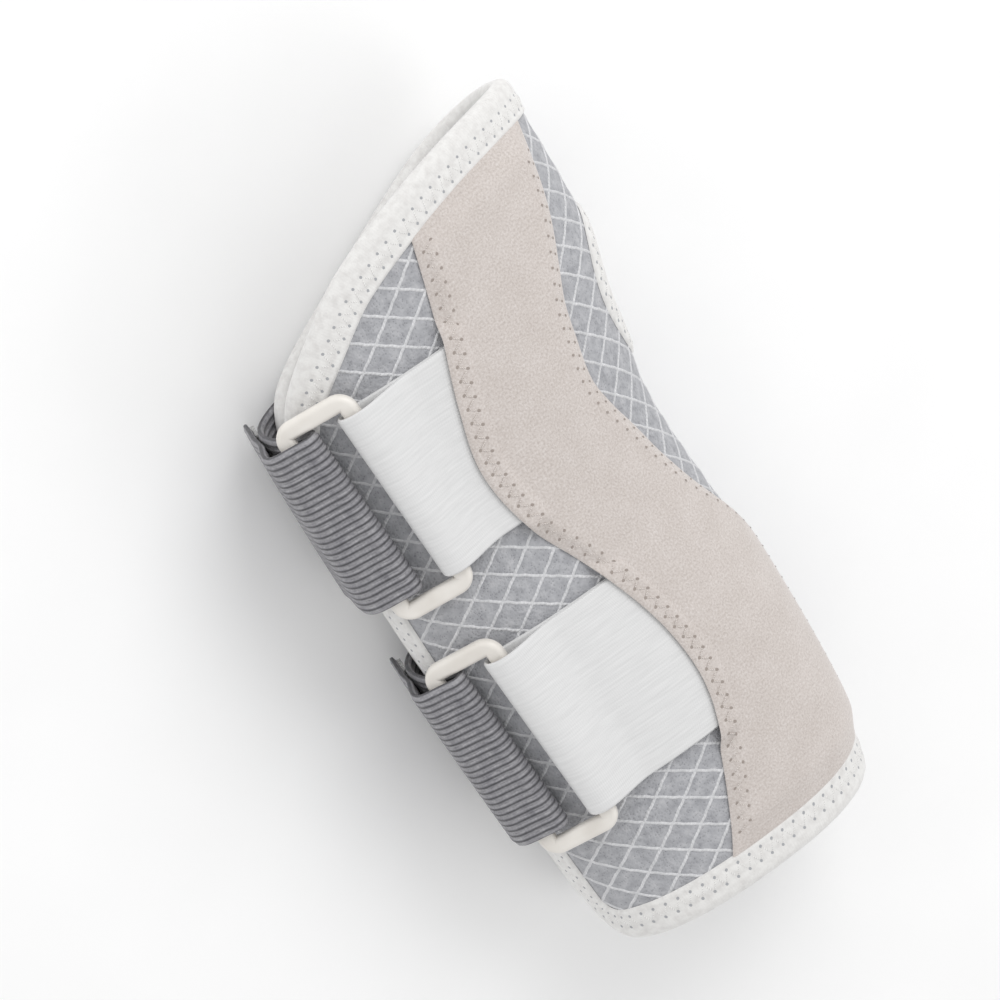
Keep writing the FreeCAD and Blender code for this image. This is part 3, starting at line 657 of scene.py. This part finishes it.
def under_cover(y, a, depth):
    """Whether a place lies under the beige cover, deeper than depth in from its sides."""
    side = depth / QUARTER_GIRTH
    return (a > smooth(COVER_ULNAR_EDGE, y) + side) & (a < smooth(COVER_RADIAL_EDGE, y) - side)


def lattice():
    """The two families of raised yarns that cross into diamonds on the mesh fabric."""
    skin = Skin()
    half = YARN_WIDTH / 2
    profile = np.array([(-half, -0.06), (-half * 0.6, YARN_HEIGHT * 0.75), (0, YARN_HEIGHT),
                        (half * 0.6, YARN_HEIGHT * 0.75), (half, -0.06), (0, -0.1)])
    around = np.concatenate([profile[:, 0], profile[:1, 0]])
    girth = np.arange(ULNAR_EDGES[0] * QUARTER_GIRTH + 1, ULNAR_EDGES[1] * QUARTER_GIRTH, 1.3)
    for lean in (-1, 1):
        way = unit(np.array([LATTICE_ROUND, lean * LATTICE_ALONG]))
        side = np.array([-way[1], way[0]])
        reach = girth[-1] / LATTICE_ROUND
        first = math.floor(FOREARM_Y / LATTICE_ALONG - reach) - 10
        for number in range(first, -first):
            y = (lean * girth / LATTICE_ROUND + number) * LATTICE_ALONG
            a = girth / QUARTER_GIRTH
            low, high = sleeve_ends(a)
            shown = (y > low + 3) & (y < high - 3) & ~in_thumb_hole(y, a, 1.5) & ~under_cover(y, a, 5)
            cuts = np.flatnonzero(np.diff(np.concatenate([[0], shown.astype(int), [0]])))
            for start, stop in zip(cuts[::2], cuts[1::2]):
                if stop - start < 4:
                    continue
                g, l = girth[start:stop], y[start:stop]
                wander = 0.1 * np.sin(g * 2.9 + number)
                ring_g = g[:, None] + side[0] * (profile[:, 0] + wander[:, None])
                ring_y = l[:, None] + side[1] * (profile[:, 0] + wander[:, None])
                rings = sleeve(ring_y, ring_g / QUARTER_GIRTH, profile[:, 1])
                add_tube(skin, rings, g * 1.17, around)
    return skin.piece("diamond_lattice", LATTICE_YARN, crease=80)


BINDING_WIDTH = 7.4
THUMB_TAPE_WIDTH = 4.6
THUMB_STITCH_ROWS = (1.6, 3.4)
TAPE_STEP = 0.85
BINDING_HEIGHT = 0.92
BINDING_REST = 0.1
TAPE_PLUMP = 0.16
ROW_PRESS = 0.12
HOLE_PRESS = 0.2
STITCH_PITCH = 3.4
STITCH_ROWS = (2.2, 5.4)


class Loop:
    """A closed line on the sleeve with the way into the fabric at each point."""

    def __init__(self, y, a, spacing, inside_y=0.0, inside_a=1.0):
        scale = girth_scale(y, a)
        closed_y = np.append(y, y[0])
        closed_a = np.append(a, a[0])
        length = np.hypot(np.diff(closed_y), np.diff(closed_a) * scale)
        along = np.concatenate([[0], np.cumsum(length)])
        count = int(round(along[-1] / spacing))
        at = np.linspace(0, along[-1], count, endpoint=False)
        self.y = np.interp(at, along, closed_y)
        self.a = np.interp(at, along, closed_a)
        self.along = np.append(at, along[-1])
        self.scale = girth_scale(self.y, self.a)
        dy = np.roll(self.y, -2) - np.roll(self.y, 2)
        dg = (np.roll(self.a, -2) - np.roll(self.a, 2)) * self.scale
        size = np.hypot(dy, dg)
        self.ny = -dg / size
        self.ng = dy / size
        towards = (inside_y - self.y) * self.ny + (inside_a - self.a) * self.scale * self.ng
        if towards.sum() < 0:
            self.ny = -self.ny
            self.ng = -self.ng

    def at(self, w, height):
        """Points this far into the fabric from the line, and this far above its outer surface."""
        y = self.y[:, None] + w * self.ny[:, None]
        a = self.a[:, None] + w * self.ng[:, None] / self.scale[:, None]
        return sleeve(y, a, height)


def tape_height(w, width):
    """Height of the folded tape's outer face, this far in from the fabric's edge."""
    edge = np.clip((width - w) / 0.7, 0, 1)
    plump = TAPE_PLUMP * np.sin(math.pi * w / width)
    return BINDING_REST + (BINDING_HEIGHT - BINDING_REST) * np.sqrt(edge) + plump


def tape_profile(width):
    """Closed outline (w, height) of a tape folded over the wall's edge."""
    half = WALL / 2
    outer = [(w, tape_height(w, width)) for w in np.linspace(width, 0.4, 19)]
    fold = [(-(half + BINDING_HEIGHT) * math.sin(turn), (half + BINDING_HEIGHT) * math.cos(turn) - half)
            for turn in np.linspace(0, math.pi, 9)]
    under = [(w, -WALL - height) for w, height in outer[::-1]]
    inner_fold = [(-(half + BINDING_REST) * math.sin(turn), (half + BINDING_REST) * math.cos(turn) - half)
                  for turn in np.linspace(math.pi, 0, 7)]
    inner = [(width - 0.1, -WALL - BINDING_REST)] + inner_fold + [(width - 0.1, BINDING_REST)]
    return np.array(outer + fold + under + inner)


def bound_edge(name, loop, width, rows):
    """Tape folded over an edge, with its zigzag of stitches and painted shade for their needle holes, outside
    and inside.
    """
    profile = tape_profile(width)
    w, height = profile[:, 0], profile[:, 1]
    rim = np.sqrt((np.diff(np.append(w, w[0])) ** 2 + np.diff(np.append(height, height[0])) ** 2))
    around = np.concatenate([[0], np.cumsum(rim)])
    pressed = np.zeros((len(loop.y), len(w)))
    count = int(round(loop.along[-1] / STITCH_PITCH))
    phase = loop.along[:-1] / loop.along[-1] * count * math.tau
    for row, shift in zip(rows, (0.0, math.pi)):
        near = np.exp(-((w - row) / 0.75) ** 2) * (np.abs(height + WALL / 2) > WALL / 2 + 0.5)
        pressed += near * (ROW_PRESS + HOLE_PRESS * np.clip(np.cos(phase + shift), 0, 1)[:, None] ** 2)
    side = np.where(height > -WALL / 2, -1.0, 1.0)
    rings = loop.at(np.broadcast_to(w, pressed.shape), height + pressed * side)
    skin = Skin()
    add_tube(skin, rings, loop.along, around, closed=True)
    tape = skin.piece(name, BINDING_TAPE, crease=60)

    at = np.linspace(0, loop.along[-1], count * 2, endpoint=False)
    index = np.round(at / loop.along[-1] * len(loop.y)).astype(int) % len(loop.y)
    row = np.where(np.arange(count * 2) % 2 == 0, rows[0], rows[1])
    threads, hole_shade = Skin(), Skin()
    sunk = tape_height(row, width) - ROW_PRESS - HOLE_PRESS
    for sign, level in ((1, sunk), (-1, -WALL - sunk)):
        y = loop.y[index] + row * loop.ny[index]
        a = loop.a[index] + row * loop.ng[index] / loop.scale[index]
        places = sleeve(y, a, level + sign * 0.1)
        normals = unit(sleeve(y, a, level + 1.0) - sleeve(y, a, level)) * sign
        following = np.roll(places, -1, axis=0)
        way = unit(following - places)
        add_threads(threads, places + way * 0.25, following - way * 0.25, normals, 0.2, 0.3)
        # Painted shade: dark discs at the needle holes.
        add_hole_shade_dots(hole_shade, places, normals, way, 0.52, 0.06)
    stitches = threads.piece(name + "_stitches", WHITE_THREAD)
    return tape, stitches, hole_shade.piece(name + "_needle_hole_shade", TAPE_HOLE_SHADE)


def sleeve_edge():
    """The whole outline of the sleeve, rounded at its four corners."""
    a = sleeve_columns(1.5)
    low, high = sleeve_ends(a)
    dorsal_y = np.linspace(low[0], high[0], 60)[1:-1]
    palmar_y = np.linspace(high[-1], low[-1], 60)[1:-1]
    y = np.concatenate([dorsal_y, high, palmar_y, low[::-1]])
    a = np.concatenate([np.full(len(dorsal_y), a[0]), a, np.full(len(palmar_y), a[-1]), a[::-1]])
    return Loop(y, a, TAPE_STEP)


def thumb_edge():
    turn = np.linspace(0, math.tau, 160, endpoint=False)
    y = THUMB_Y + THUMB_HALF_LENGTH * np.cos(turn)
    loop = Loop(y, 1 + THUMB_HALF_HEIGHT * np.sin(turn), TAPE_STEP, THUMB_Y)
    loop.ny, loop.ng = -loop.ny, -loop.ng
    return loop


# ---- the beige cover --------------------------------------------------------------------------------
COVER_LIFT = 1.7
COVER_REST = 0.3


def cover_lift(y, a, into, from_end):
    """Height of the cover's inner face: low at its sewn border, high over the stays and the tabs."""
    ramp = step_up(into / 4.5) * step_up(from_end / 8)
    bump = np.zeros_like(y)
    for centre in STRAP_CENTRE_Y.values():
        bump = np.maximum(bump, step_up((STRAP_WIDTH / 2 + 7 - np.abs(y - centre)) / 6))
    tucked = step_up((0.16 - (a - smooth(COVER_ULNAR_EDGE, y))) / 0.08)
    return COVER_REST + np.maximum(COVER_LIFT * ramp, (2 * TAB_THICKNESS + 0.7) * bump * tucked)


def cover_ends(a):
    return FOREARM_Y + COVER_RIM_MARGIN, smooth(HAND_RIM, a) - COVER_RIM_MARGIN


def cover_place(t, s):
    """y and girth coordinate on the cover, at shares t along and s across."""
    rough_a = s * 0.6
    low, high = cover_ends(rough_a)
    y = low + t * (high - low)
    a_low, a_high = smooth(COVER_ULNAR_EDGE, y), smooth(COVER_RADIAL_EDGE, y)
    a = a_low + s * (a_high - a_low)
    low, high = cover_ends(a)
    y = low + t * (high - low)
    a_low, a_high = smooth(COVER_ULNAR_EDGE, y), smooth(COVER_RADIAL_EDGE, y)
    return y, a_low + s * (a_high - a_low), a_low, a_high


def dorsal_cover():
    """Brushed laminate panel, plump inside its zigzag-sewn border."""
    t = np.linspace(0, 1, 230)[:, None]
    s = np.linspace(0, 1, 76)
    t, s = np.broadcast_arrays(t, s)
    y, a, a_low, a_high = cover_place(t, s)
    low, high = cover_ends(a)
    into = np.minimum(a - a_low, a_high - a) * QUARTER_GIRTH
    from_end = np.minimum(y - low, high - y)
    lift = cover_lift(y, a, into, from_end)
    puckers = 0.16 * np.exp(-((into - 2.6) / 1.1) ** 2) * (0.6 + 0.4 * np.cos(y / STITCH_PITCH * math.tau))
    edge = np.minimum(into, from_end)
    rounding = 0.45 * (1 - np.sqrt(np.clip(edge / 0.8, 0, 1)))
    outer = sleeve(y, a, lift + COVER_THICKNESS - puckers - rounding)
    inner = sleeve(y, a, lift)
    skin = Skin()
    add_sheet(skin, outer, inner, np.stack([a * QUARTER_GIRTH, y], -1))
    return skin.piece("dorsal_cover_panel", COVER_FABRIC)


def cover_stitches():
    """Zigzag rows along the cover's two long edges."""
    threads, hole_shade = Skin(), Skin()
    y = np.arange(FOREARM_Y + 12, 92, STITCH_PITCH / 2)
    for table, way in ((COVER_ULNAR_EDGE, 1), (COVER_RADIAL_EDGE, -1)):
        row_in = np.where(np.arange(len(y)) % 2 == 0, 1.9, 4.4)
        a = smooth(table, y) + way * row_in / QUARTER_GIRTH
        high = cover_ends(a)[1]
        shown = y < high - 3
        place_y, place_a, into = y[shown], a[shown], row_in[shown]
        from_end = np.minimum(place_y - FOREARM_Y - COVER_RIM_MARGIN, high[shown] - place_y)
        lift = cover_lift(place_y, place_a, into, from_end)
        height = lift + COVER_THICKNESS - np.where(into < 3, 0.06, 0.0)
        places = sleeve(place_y, place_a, height)
        normals = unit(sleeve(place_y, place_a, height + 1) - places)
        ways = unit(places[1:] - places[:-1])
        add_threads(threads, places[:-1] + ways * 0.2, places[1:] - ways * 0.2, normals[:-1], 0.17, 0.16)
        # Painted shade: dark discs at the needle holes.
        add_hole_shade_dots(hole_shade, places, normals, np.concatenate([ways, ways[-1:]]), 0.52, 0.08)
    return threads.piece("cover_stitches", BEIGE_THREAD), hole_shade.piece("cover_needle_hole_shade", COVER_HOLE_SHADE)


# ---- straps, tabs and their places --------------------------------------------------------------------
class Closure:
    """Places of one buckle, read from its joints: tab bar, fold of the strap, and the ways round them."""

    def __init__(self, number):
        joints = {joint["name"]: joint for joint in frame["joints"]}
        swing = joints[f"buckle_{number}_swing"]
        peel = joints[f"strap_{number}_peel"]
        self.number = number
        self.tab_bar = np.array(swing["pos_m"]) / MM
        self.fold = np.array(peel["pos_m"]) / MM
        self.along = unit(np.array(swing["axis"], float))
        across = self.fold - self.tab_bar
        self.across = unit(across - self.along * (across @ self.along))
        self.outward = np.cross(self.along, self.across)
        if self.outward[2] < 0:
            self.outward = -self.outward
        self.centre_y = STRAP_CENTRE_Y[number]

    def turn(self, centre, towards, radius, degrees, y):
        """Arc round a bar at constant y, starting from the given way."""
        centre = centre + self.along * ((y - centre[1]) / self.along[1])
        angles = np.radians(degrees)[:, None]
        points = centre + radius * (towards * np.cos(angles) + self.outward * np.sin(angles))
        points[:, 1] = y
        return points


def bridge(start, way_out, end, way_in, count=14):
    """Points of a smooth curve from start to end, both left out, with the given ways at its ends."""
    reach = np.linalg.norm(end - start)
    way_out = unit(way_out) * reach
    way_in = unit(way_in) * reach
    t = np.linspace(0, 1, count)[1:-1, None]
    return (start * ((1 + 2 * t) * (1 - t) ** 2) + way_out * (t * (1 - t) ** 2)
            + end * (t * t * (3 - 2 * t)) - way_in * (t * t * (1 - t)))


STATIONS = 5


def ribbon(name, closure, path_at, count, width, thickness, material, offsets, groove, start_u=0.0):
    """Band whose middle follows path_at(y), with grooves across its width given by groove(offset)."""
    stations = closure.centre_y + np.linspace(-width / 2, width / 2, STATIONS)
    paths = evenly([path_at(y) for y in stations], count)
    y = closure.centre_y + offsets
    weights = []
    for i in range(STATIONS):
        others = [k for k in range(STATIONS) if k != i]
        weights.append(np.prod([(y - stations[k]) / (stations[i] - stations[k]) for k in others], axis=0))
    paths = np.einsum("sw,spc->pwc", np.array(weights), paths)
    tangent = np.gradient(paths, axis=0)
    normal = unit(np.stack([tangent[..., 2], np.zeros(tangent.shape[:2]), -tangent[..., 0]], -1))
    edge = (width / 2 - np.abs(offsets)) / (thickness * 0.6)
    half = thickness / 2 * np.sqrt(np.clip(1 - (1 - np.clip(edge, 0, 1)) ** 2, 0.06, 1))
    half = half - groove(offsets, np.linspace(0, 1, count)[:, None])
    lengths = np.concatenate([[0], np.cumsum(np.linalg.norm(np.diff(paths[:, 0], axis=0), axis=1))])
    u = np.broadcast_to((lengths + start_u)[:, None], paths.shape[:2])
    uv = np.stack([u, np.broadcast_to(offsets, paths.shape[:2])], -1)
    skin = Skin()
    add_sheet(skin, paths + normal * half[..., None], paths - normal * half[..., None], uv)
    return skin.piece(name, material, crease=70)


RIB_COLUMNS = (0.0, 0.1, 0.24, 0.5, 0.76, 0.9)


def rib_offsets():
    """Places across the strap's width, closer together at the grooves between its ribs."""
    ribs = int(STRAP_WIDTH / RIB_PITCH)
    start = -ribs * RIB_PITCH / 2
    inner = [start + (rib + share) * RIB_PITCH for rib in range(ribs) for share in RIB_COLUMNS]
    edge = STRAP_WIDTH / 2
    return np.array([-edge, -edge + 0.15] + inner[1:] + [edge - 0.15, edge])


def rib_groove(depth_start, depth_end):
    """Groove depth between the ribs, changing from one end of the band to the other."""
    start = -int(STRAP_WIDTH / RIB_PITCH) * RIB_PITCH / 2

    def groove(offsets, share):
        away = np.abs((offsets - start + RIB_PITCH / 2) % RIB_PITCH - RIB_PITCH / 2)
        return (depth_start + (depth_end - depth_start) * share) * np.exp(-(away / 0.3) ** 2)

    return groove


ANCHOR = (-1.52, 1.9)
RUN_START = (-1.13, 2.5)
STRAP_CUT = -0.97
RUN_LIFT = -0.93
RUN_HEIGHT = 2.5
FOLD_CLEARANCE = 0.25
FOLD_RADIUS = BUCKLE_THICKNESS / 2 + FOLD_CLEARANCE + STRAP_THICKNESS / 2
TAIL_LANDING = -1.06
TAIL_LEAVING = -1.15
TAIL_HEIGHT = 4.6
TAIL_TIP_LENGTH = 10.5
TAIL_FLAT_LENGTH = 6.4
TAIL_RISE = 0.5
TAIL_TIP_WAY = unit(np.array([0.22, 0.0, -1.0]))


def strap(closure):
    """The strap in three lengths: from its sewn end to the flap, up to the bar, and the folded-back tail."""
    number = closure.number
    window = -closure.across

    def lower(y):
        a = np.linspace(ANCHOR[0], STRAP_CUT, 40)
        rise = step_up((a - ANCHOR[0] - 0.2) / (RUN_START[0] - ANCHOR[0] - 0.2))
        return sleeve(y, a, ANCHOR[1] + (RUN_START[1] - ANCHOR[1]) * rise)

    def upper(y):
        side = sleeve(y, np.linspace(STRAP_CUT, RUN_LIFT, 5), RUN_HEIGHT)
        turn = closure.turn(closure.fold, window, FOLD_RADIUS, np.linspace(-78, 0, 18), y)
        rise = bridge(side[-1], side[-1] - side[-2], turn[0], turn[1] - turn[0])
        return np.concatenate([side, rise, turn])

    def tail(y):
        turn = closure.turn(closure.fold, window, FOLD_RADIUS, np.linspace(-6, 92, 26), y)
        flat = turn[-1] + closure.across * np.linspace(0.6, TAIL_FLAT_LENGTH, 8)[:, None]
        flat = flat + closure.outward * (TAIL_RISE * step_up(np.linspace(0, 1, 8))[:, None])
        flat[:, 1] = y
        side = sleeve(y, np.linspace(TAIL_LANDING, TAIL_LEAVING, 8), TAIL_HEIGHT)
        over = bridge(flat[-1], closure.across, side[0], side[1] - side[0], 20)
        tip = side[-1] + TAIL_TIP_WAY * (TAIL_TIP_LENGTH * np.linspace(0.15, 1, 6)[:, None])
        return np.concatenate([turn, flat, over, side, tip])

    offsets = rib_offsets()
    name = f"strap_{number}"
    low = ribbon(name + "_sewn_length", closure, lower, 26, STRAP_WIDTH, STRAP_THICKNESS, STRAP_ELASTIC,
                 offsets, rib_groove(0.22, 0.22))
    up = ribbon(name + "_buckle_length", closure, upper, 22, STRAP_WIDTH, STRAP_THICKNESS, STRAP_ELASTIC,
                offsets, rib_groove(0.24, 0.5), 33)
    end = ribbon(name + "_folded_tail", closure, tail, 56, STRAP_WIDTH, STRAP_THICKNESS, STRAP_ELASTIC,
                 offsets, rib_groove(0.42, 0.2), 60)
    return low, up, end


def tab_groove(offsets, share):
    return 0.012 * (1 + np.cos(offsets / 1.9 * math.tau)) * np.ones_like(share)


def tab(closure):
    """White elastic loop from under the cover, round the buckle's inner bar and back."""
    radius = BUCKLE_BAR / 2 + 0.1 + TAB_THICKNESS / 2
    quarter = TAB_BAR_QUARTER[closure.number]
    lower = TAB_CLEARANCE + TAB_THICKNESS / 2
    upper = lower + TAB_THICKNESS + TAB_LAYER_GAP

    def path(y):
        tuck = smooth(COVER_ULNAR_EDGE, y) + TAB_TUCK
        under = sleeve(y, np.linspace(tuck, quarter + 0.14, 24), lower)
        bulge = closure.across * (BUCKLE_BAR / 2 - BUCKLE_THICKNESS / 2)
        turn = closure.turn(closure.tab_bar + bulge, closure.across, radius, np.linspace(-60, 75, 25), y)
        over = sleeve(y, np.linspace(quarter + 0.24, tuck, 24), upper)
        first = bridge(under[-1], under[-1] - under[-2], turn[0], turn[1] - turn[0])
        last = bridge(turn[-1], turn[-1] - turn[-2], over[0], over[1] - over[0])
        return np.concatenate([under, first, turn, last, over])

    offsets = np.linspace(-STRAP_WIDTH / 2, STRAP_WIDTH / 2, 100)
    return ribbon(f"tab_{closure.number}_loop", closure, path, 110, STRAP_WIDTH, TAB_THICKNESS, TAB_ELASTIC,
                  offsets, tab_groove)


def anchor_stitches(closure):
    """Box of stitches that holds the strap's sewn end to the palm side."""
    skin = Skin()
    half = STRAP_WIDTH / 2 - 2.5
    corners = [(-half, -1.50), (half, -1.50), (half, -1.33), (-half, -1.33)]
    for (y0, a0), (y1, a1) in zip(corners, corners[1:] + corners[:1]):
        length = math.hypot(y1 - y0, (a1 - a0) * QUARTER_GIRTH)
        at = np.linspace(0, 1, int(length / 2.6) + 1)
        y = closure.centre_y + y0 + (y1 - y0) * at
        a = a0 + (a1 - a0) * at
        height = ANCHOR[1] + STRAP_THICKNESS / 2
        places = sleeve(y, a, height)
        normals = unit(sleeve(y, a, height + 1) - places)
        ways = unit(places[1:] - places[:-1])
        add_threads(skin, places[:-1] + ways * 0.3, places[1:] - ways * 0.3, normals[:-1], 0.22, 0.3)
    return skin.piece(f"strap_{closure.number}_box_stitches", GREY_THREAD)


# ---- palmar stay pocket -------------------------------------------------------------------------------
POCKET_HALF_WIDTH = 16.5
POCKET_HOLLOW = 12.3
POCKET_FLOOR = 0.8
POCKET_END_WALL = 3.0
POCKET_SIDE_RISE = 2.2


def stay_pocket():
    """Fabric channel for the palmar stay, with sewn flanges on both sides and a closed hand end."""
    low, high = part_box("palmar_stay_pocket")
    y = np.concatenate([np.linspace(low[1] / MM, high[1] / MM - 3.2, 90), [high[1] / MM - POCKET_END_WALL]])
    top = high[2] / MM
    x = np.linspace(-POCKET_HALF_WIDTH, POCKET_HALF_WIDTH, 45)
    side = step_up((np.abs(x) - POCKET_HOLLOW) / (POCKET_HALF_WIDTH - POCKET_HOLLOW))
    under = np.stack([x, POCKET_SIDE_RISE * side], -1)
    hollow_x = np.linspace(POCKET_HOLLOW, -POCKET_HOLLOW, 25)
    inner = [(POCKET_HALF_WIDTH, top), (POCKET_HOLLOW, top)]
    inner += [(each, POCKET_FLOOR) for each in hollow_x]
    inner += [(-POCKET_HOLLOW, top), (-POCKET_HALF_WIDTH, top)]
    outline_xz = np.concatenate([under, np.array(inner)])
    ripple = 0.12 * np.sin(y[:, None] / 5.3) * np.sin(y[:, None] / 17.0) * (side[None] > 0.05)
    rings = np.zeros((len(y), len(outline_xz), 3))
    rings[..., 0] = outline_xz[:, 0]
    rings[..., 1] = y[:, None]
    rings[..., 2] = outline_xz[:, 1]
    rings[:, :len(x), 2] += ripple
    length = np.hypot(*np.diff(np.concatenate([outline_xz, outline_xz[:1]]), axis=0).T)
    around = np.concatenate([[0], np.cumsum(length)])
    skin = Skin()
    add_tube(skin, rings, y, around)
    cap_outline = np.concatenate([under, [(POCKET_HALF_WIDTH, top), (-POCKET_HALF_WIDTH, top)]])
    cap = np.zeros((2, len(cap_outline), 3))
    cap[..., 0] = cap_outline[:, 0]
    cap[0, :, 1] = high[1] / MM - POCKET_END_WALL
    cap[1, :, 1] = high[1] / MM
    cap[..., 2] = cap_outline[:, 1]
    add_tube(skin, cap, np.array([0.0, POCKET_END_WALL]), np.append(cap_outline[:, 0], cap_outline[0, 0]))
    pocket = skin.piece("stay_pocket_fabric", POCKET_FABRIC)

    threads = Skin()
    at = np.arange(low[1] / MM + 2, high[1] / MM - 2, 2.8)
    for sign in (-1, 1):
        places = np.stack([np.full(len(at), sign * 14.6), at, np.full(len(at), 0.95)], -1)
        normals = np.tile([sign * 0.45, 0.0, -0.89], (len(at) - 1, 1))
        ways = np.array([0.0, 0.35, 0.0])
        add_threads(threads, places[:-1] + ways, places[1:] - ways, normals, 0.2, 0.25)
    return pocket, threads.piece("stay_pocket_stitches", WHITE_THREAD)


def across_the_hinge(*pieces):
    for piece in pieces:
        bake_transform(piece)


def sleeve_pieces():
    outer = wall_layer("sleeve_outer_mesh", 0.0, MESH, MESH_FABRIC, 1.6)
    foam = wall_layer("sleeve_foam_core", -MESH - LAYER_GAP, FOAM, FOAM_CORE, 2.6)
    lining = wall_layer("sleeve_lining", -MESH - FOAM - 2 * LAYER_GAP, LINING, LINING_FABRIC, 1.8)
    yarns = lattice()
    tape, tape_threads, tape_hole_shade = bound_edge("edge_binding", sleeve_edge(), BINDING_WIDTH, STITCH_ROWS)
    ring, ring_threads, ring_hole_shade = bound_edge("thumb_binding_ring", thumb_edge(), THUMB_TAPE_WIDTH,
                                                THUMB_STITCH_ROWS)
    across_the_hinge(outer, foam, lining, yarns, tape, tape_threads, tape_hole_shade,
                     ring, ring_threads, ring_hole_shade)
    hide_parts("dorsal_mesh", "palmar_mesh")
    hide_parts("dorsal_foam", "palmar_foam")
    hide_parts("dorsal_lining", "palmar_lining")
    edges = ("hand", "forearm", "ulnar")
    bindings = [f"{half}_binding_{edge}" for half in ("dorsal", "palmar") for edge in edges]
    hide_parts(*bindings)
    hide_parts("thumb_binding_dorsal", "thumb_binding_palmar")
    return outer, foam, lining


def cover_pieces():
    panel = dorsal_cover()
    threads, hole_shade = cover_stitches()
    for piece in (panel, threads, hole_shade):
        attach(piece, "dorsal_flap")
    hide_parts("dorsal_cover")
    return panel, threads, hole_shade


def closure_pieces(closure):
    number = closure.number
    low, up, end = strap(closure)
    loop = tab(closure)
    box = anchor_stitches(closure)
    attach(loop, "dorsal_flap")
    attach(box, "palmar_half")
    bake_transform(low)
    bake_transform(up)
    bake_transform(end)
    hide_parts(f"strap_anchor_{number}")
    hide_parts(f"strap_run_{number}")
    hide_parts(f"strap_tail_{number}")
    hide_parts(f"tab_{number}")
    frame["nodes"][f"buckle_{number}"].data.materials[0] = BUCKLE_PLASTIC
    frame["nodes"][f"hook_patch_{number}"].data.materials[0] = HOOK_TAPE
    return low, up, end, loop


def stay_pieces():
    pocket, threads = stay_pocket()
    for piece in (pocket, threads):
        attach(piece, "palmar_half")
    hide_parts("palmar_stay_pocket")
    frame["nodes"]["palmar_stay"].data.materials[0] = STAY_METAL
    frame["nodes"]["palmar_stay_tips"].data.materials[0] = STAY_TIP
    for side in ("ulnar", "radial"):
        frame["nodes"][f"dorsal_stay_{side}"].data.materials[0] = DORSAL_STAY


# ---- camera, floor and lights ---------------------------------------------------------------------------
SIDEWAYS = math.radians(15)
FORWARD = math.radians(19)
ROLL = math.radians(31.5)
DISTANCE = 1100.0
VIEW_WIDTH = 246.0
SENSOR = 36.0
AIM = Vector((-3, 0, 30))
AIM_SHIFT = (-14.8, 11.8)


def camera():
    """Looks down on the back of the hand from the fingers' side, with the forearm to the lower right."""
    back = Vector((-math.sin(SIDEWAYS) * math.cos(FORWARD), math.sin(FORWARD),
                   math.cos(SIDEWAYS) * math.cos(FORWARD)))
    fingers = Vector((0, 1, 0))
    fingers = (fingers - back * fingers.dot(back)).normalized()
    thumb = fingers.cross(back)
    right = thumb * math.cos(ROLL) - fingers * math.sin(ROLL)
    up = fingers * math.cos(ROLL) + thumb * math.sin(ROLL)
    aim = AIM + right * AIM_SHIFT[0] + up * AIM_SHIFT[1]
    data = bpy.data.cameras.new("camera")
    data.sensor_width = SENSOR
    data.lens = SENSOR * DISTANCE / VIEW_WIDTH
    data.clip_start = 0.05
    eye = bpy.data.objects.new("camera", data)
    eye.matrix_world = Matrix((right, up, back)).transposed().to_4x4()
    eye.location = (aim + back * DISTANCE) * MM
    bpy.context.scene.collection.objects.link(eye)
    bpy.context.scene.camera = eye
    return right, up, back


def floor():
    mesh = bpy.data.meshes.new("floor")
    half = 4.0
    corners = [(-half, -half, 0), (half, -half, 0), (half, half, 0), (-half, half, 0)]
    mesh.from_pydata(corners, [], [(0, 1, 2, 3)])
    paint = Paint("floor_paint", "Object", Roughness=0.95)
    grain = paint.noise(60.0, 2.0)
    colour = paint.ramp(grain, (0.3, linear(247, 247, 247)), (0.7, linear(250, 250, 250)))
    mesh.materials.append(paint.done(colour, paint.relief(grain, 0.01, 0.1)))
    plane = bpy.data.objects.new("floor", mesh)
    bpy.context.scene.collection.objects.link(plane)


def light(name, towards, distance, size, power):
    """Soft square light that shines on the splint from a given way."""
    data = bpy.data.lights.new(name, "AREA")
    data.shape = "SQUARE"
    data.size = size
    data.energy = power
    lamp = bpy.data.objects.new(name, data)
    towards = Vector(towards).normalized()
    lamp.location = towards * distance
    lamp.rotation_mode = "QUATERNION"
    lamp.rotation_quaternion = towards.to_track_quat("Z", "Y")
    bpy.context.scene.collection.objects.link(lamp)


def studio(right, up, back):
    light("key_light", back * 0.8 + up * 0.7 + right * 0.35, 1.1, 0.7, 4.2)
    light("fill_light", back * 0.5 - right * 0.9 + up * 0.1, 1.3, 1.0, 2.8)
    light("rim_light", back * 0.25 + right * 0.9 - up * 0.4, 1.2, 0.6, 1.1)
    world = bpy.data.worlds.new("studio")
    bpy.context.scene.world = world
    world.use_nodes = True
    background = world.node_tree.nodes["Background"]
    background.inputs["Color"].default_value = (1, 1, 1, 1)
    background.inputs["Strength"].default_value = 0.8
    bpy.context.scene.view_settings.view_transform = "Standard"
    bpy.context.scene.view_settings.look = "None"


studio(*camera())
floor()
wall = sleeve_pieces()
cover = cover_pieces()
straps = [closure_pieces(Closure(number)) for number in (1, 2)]
stay_pieces()
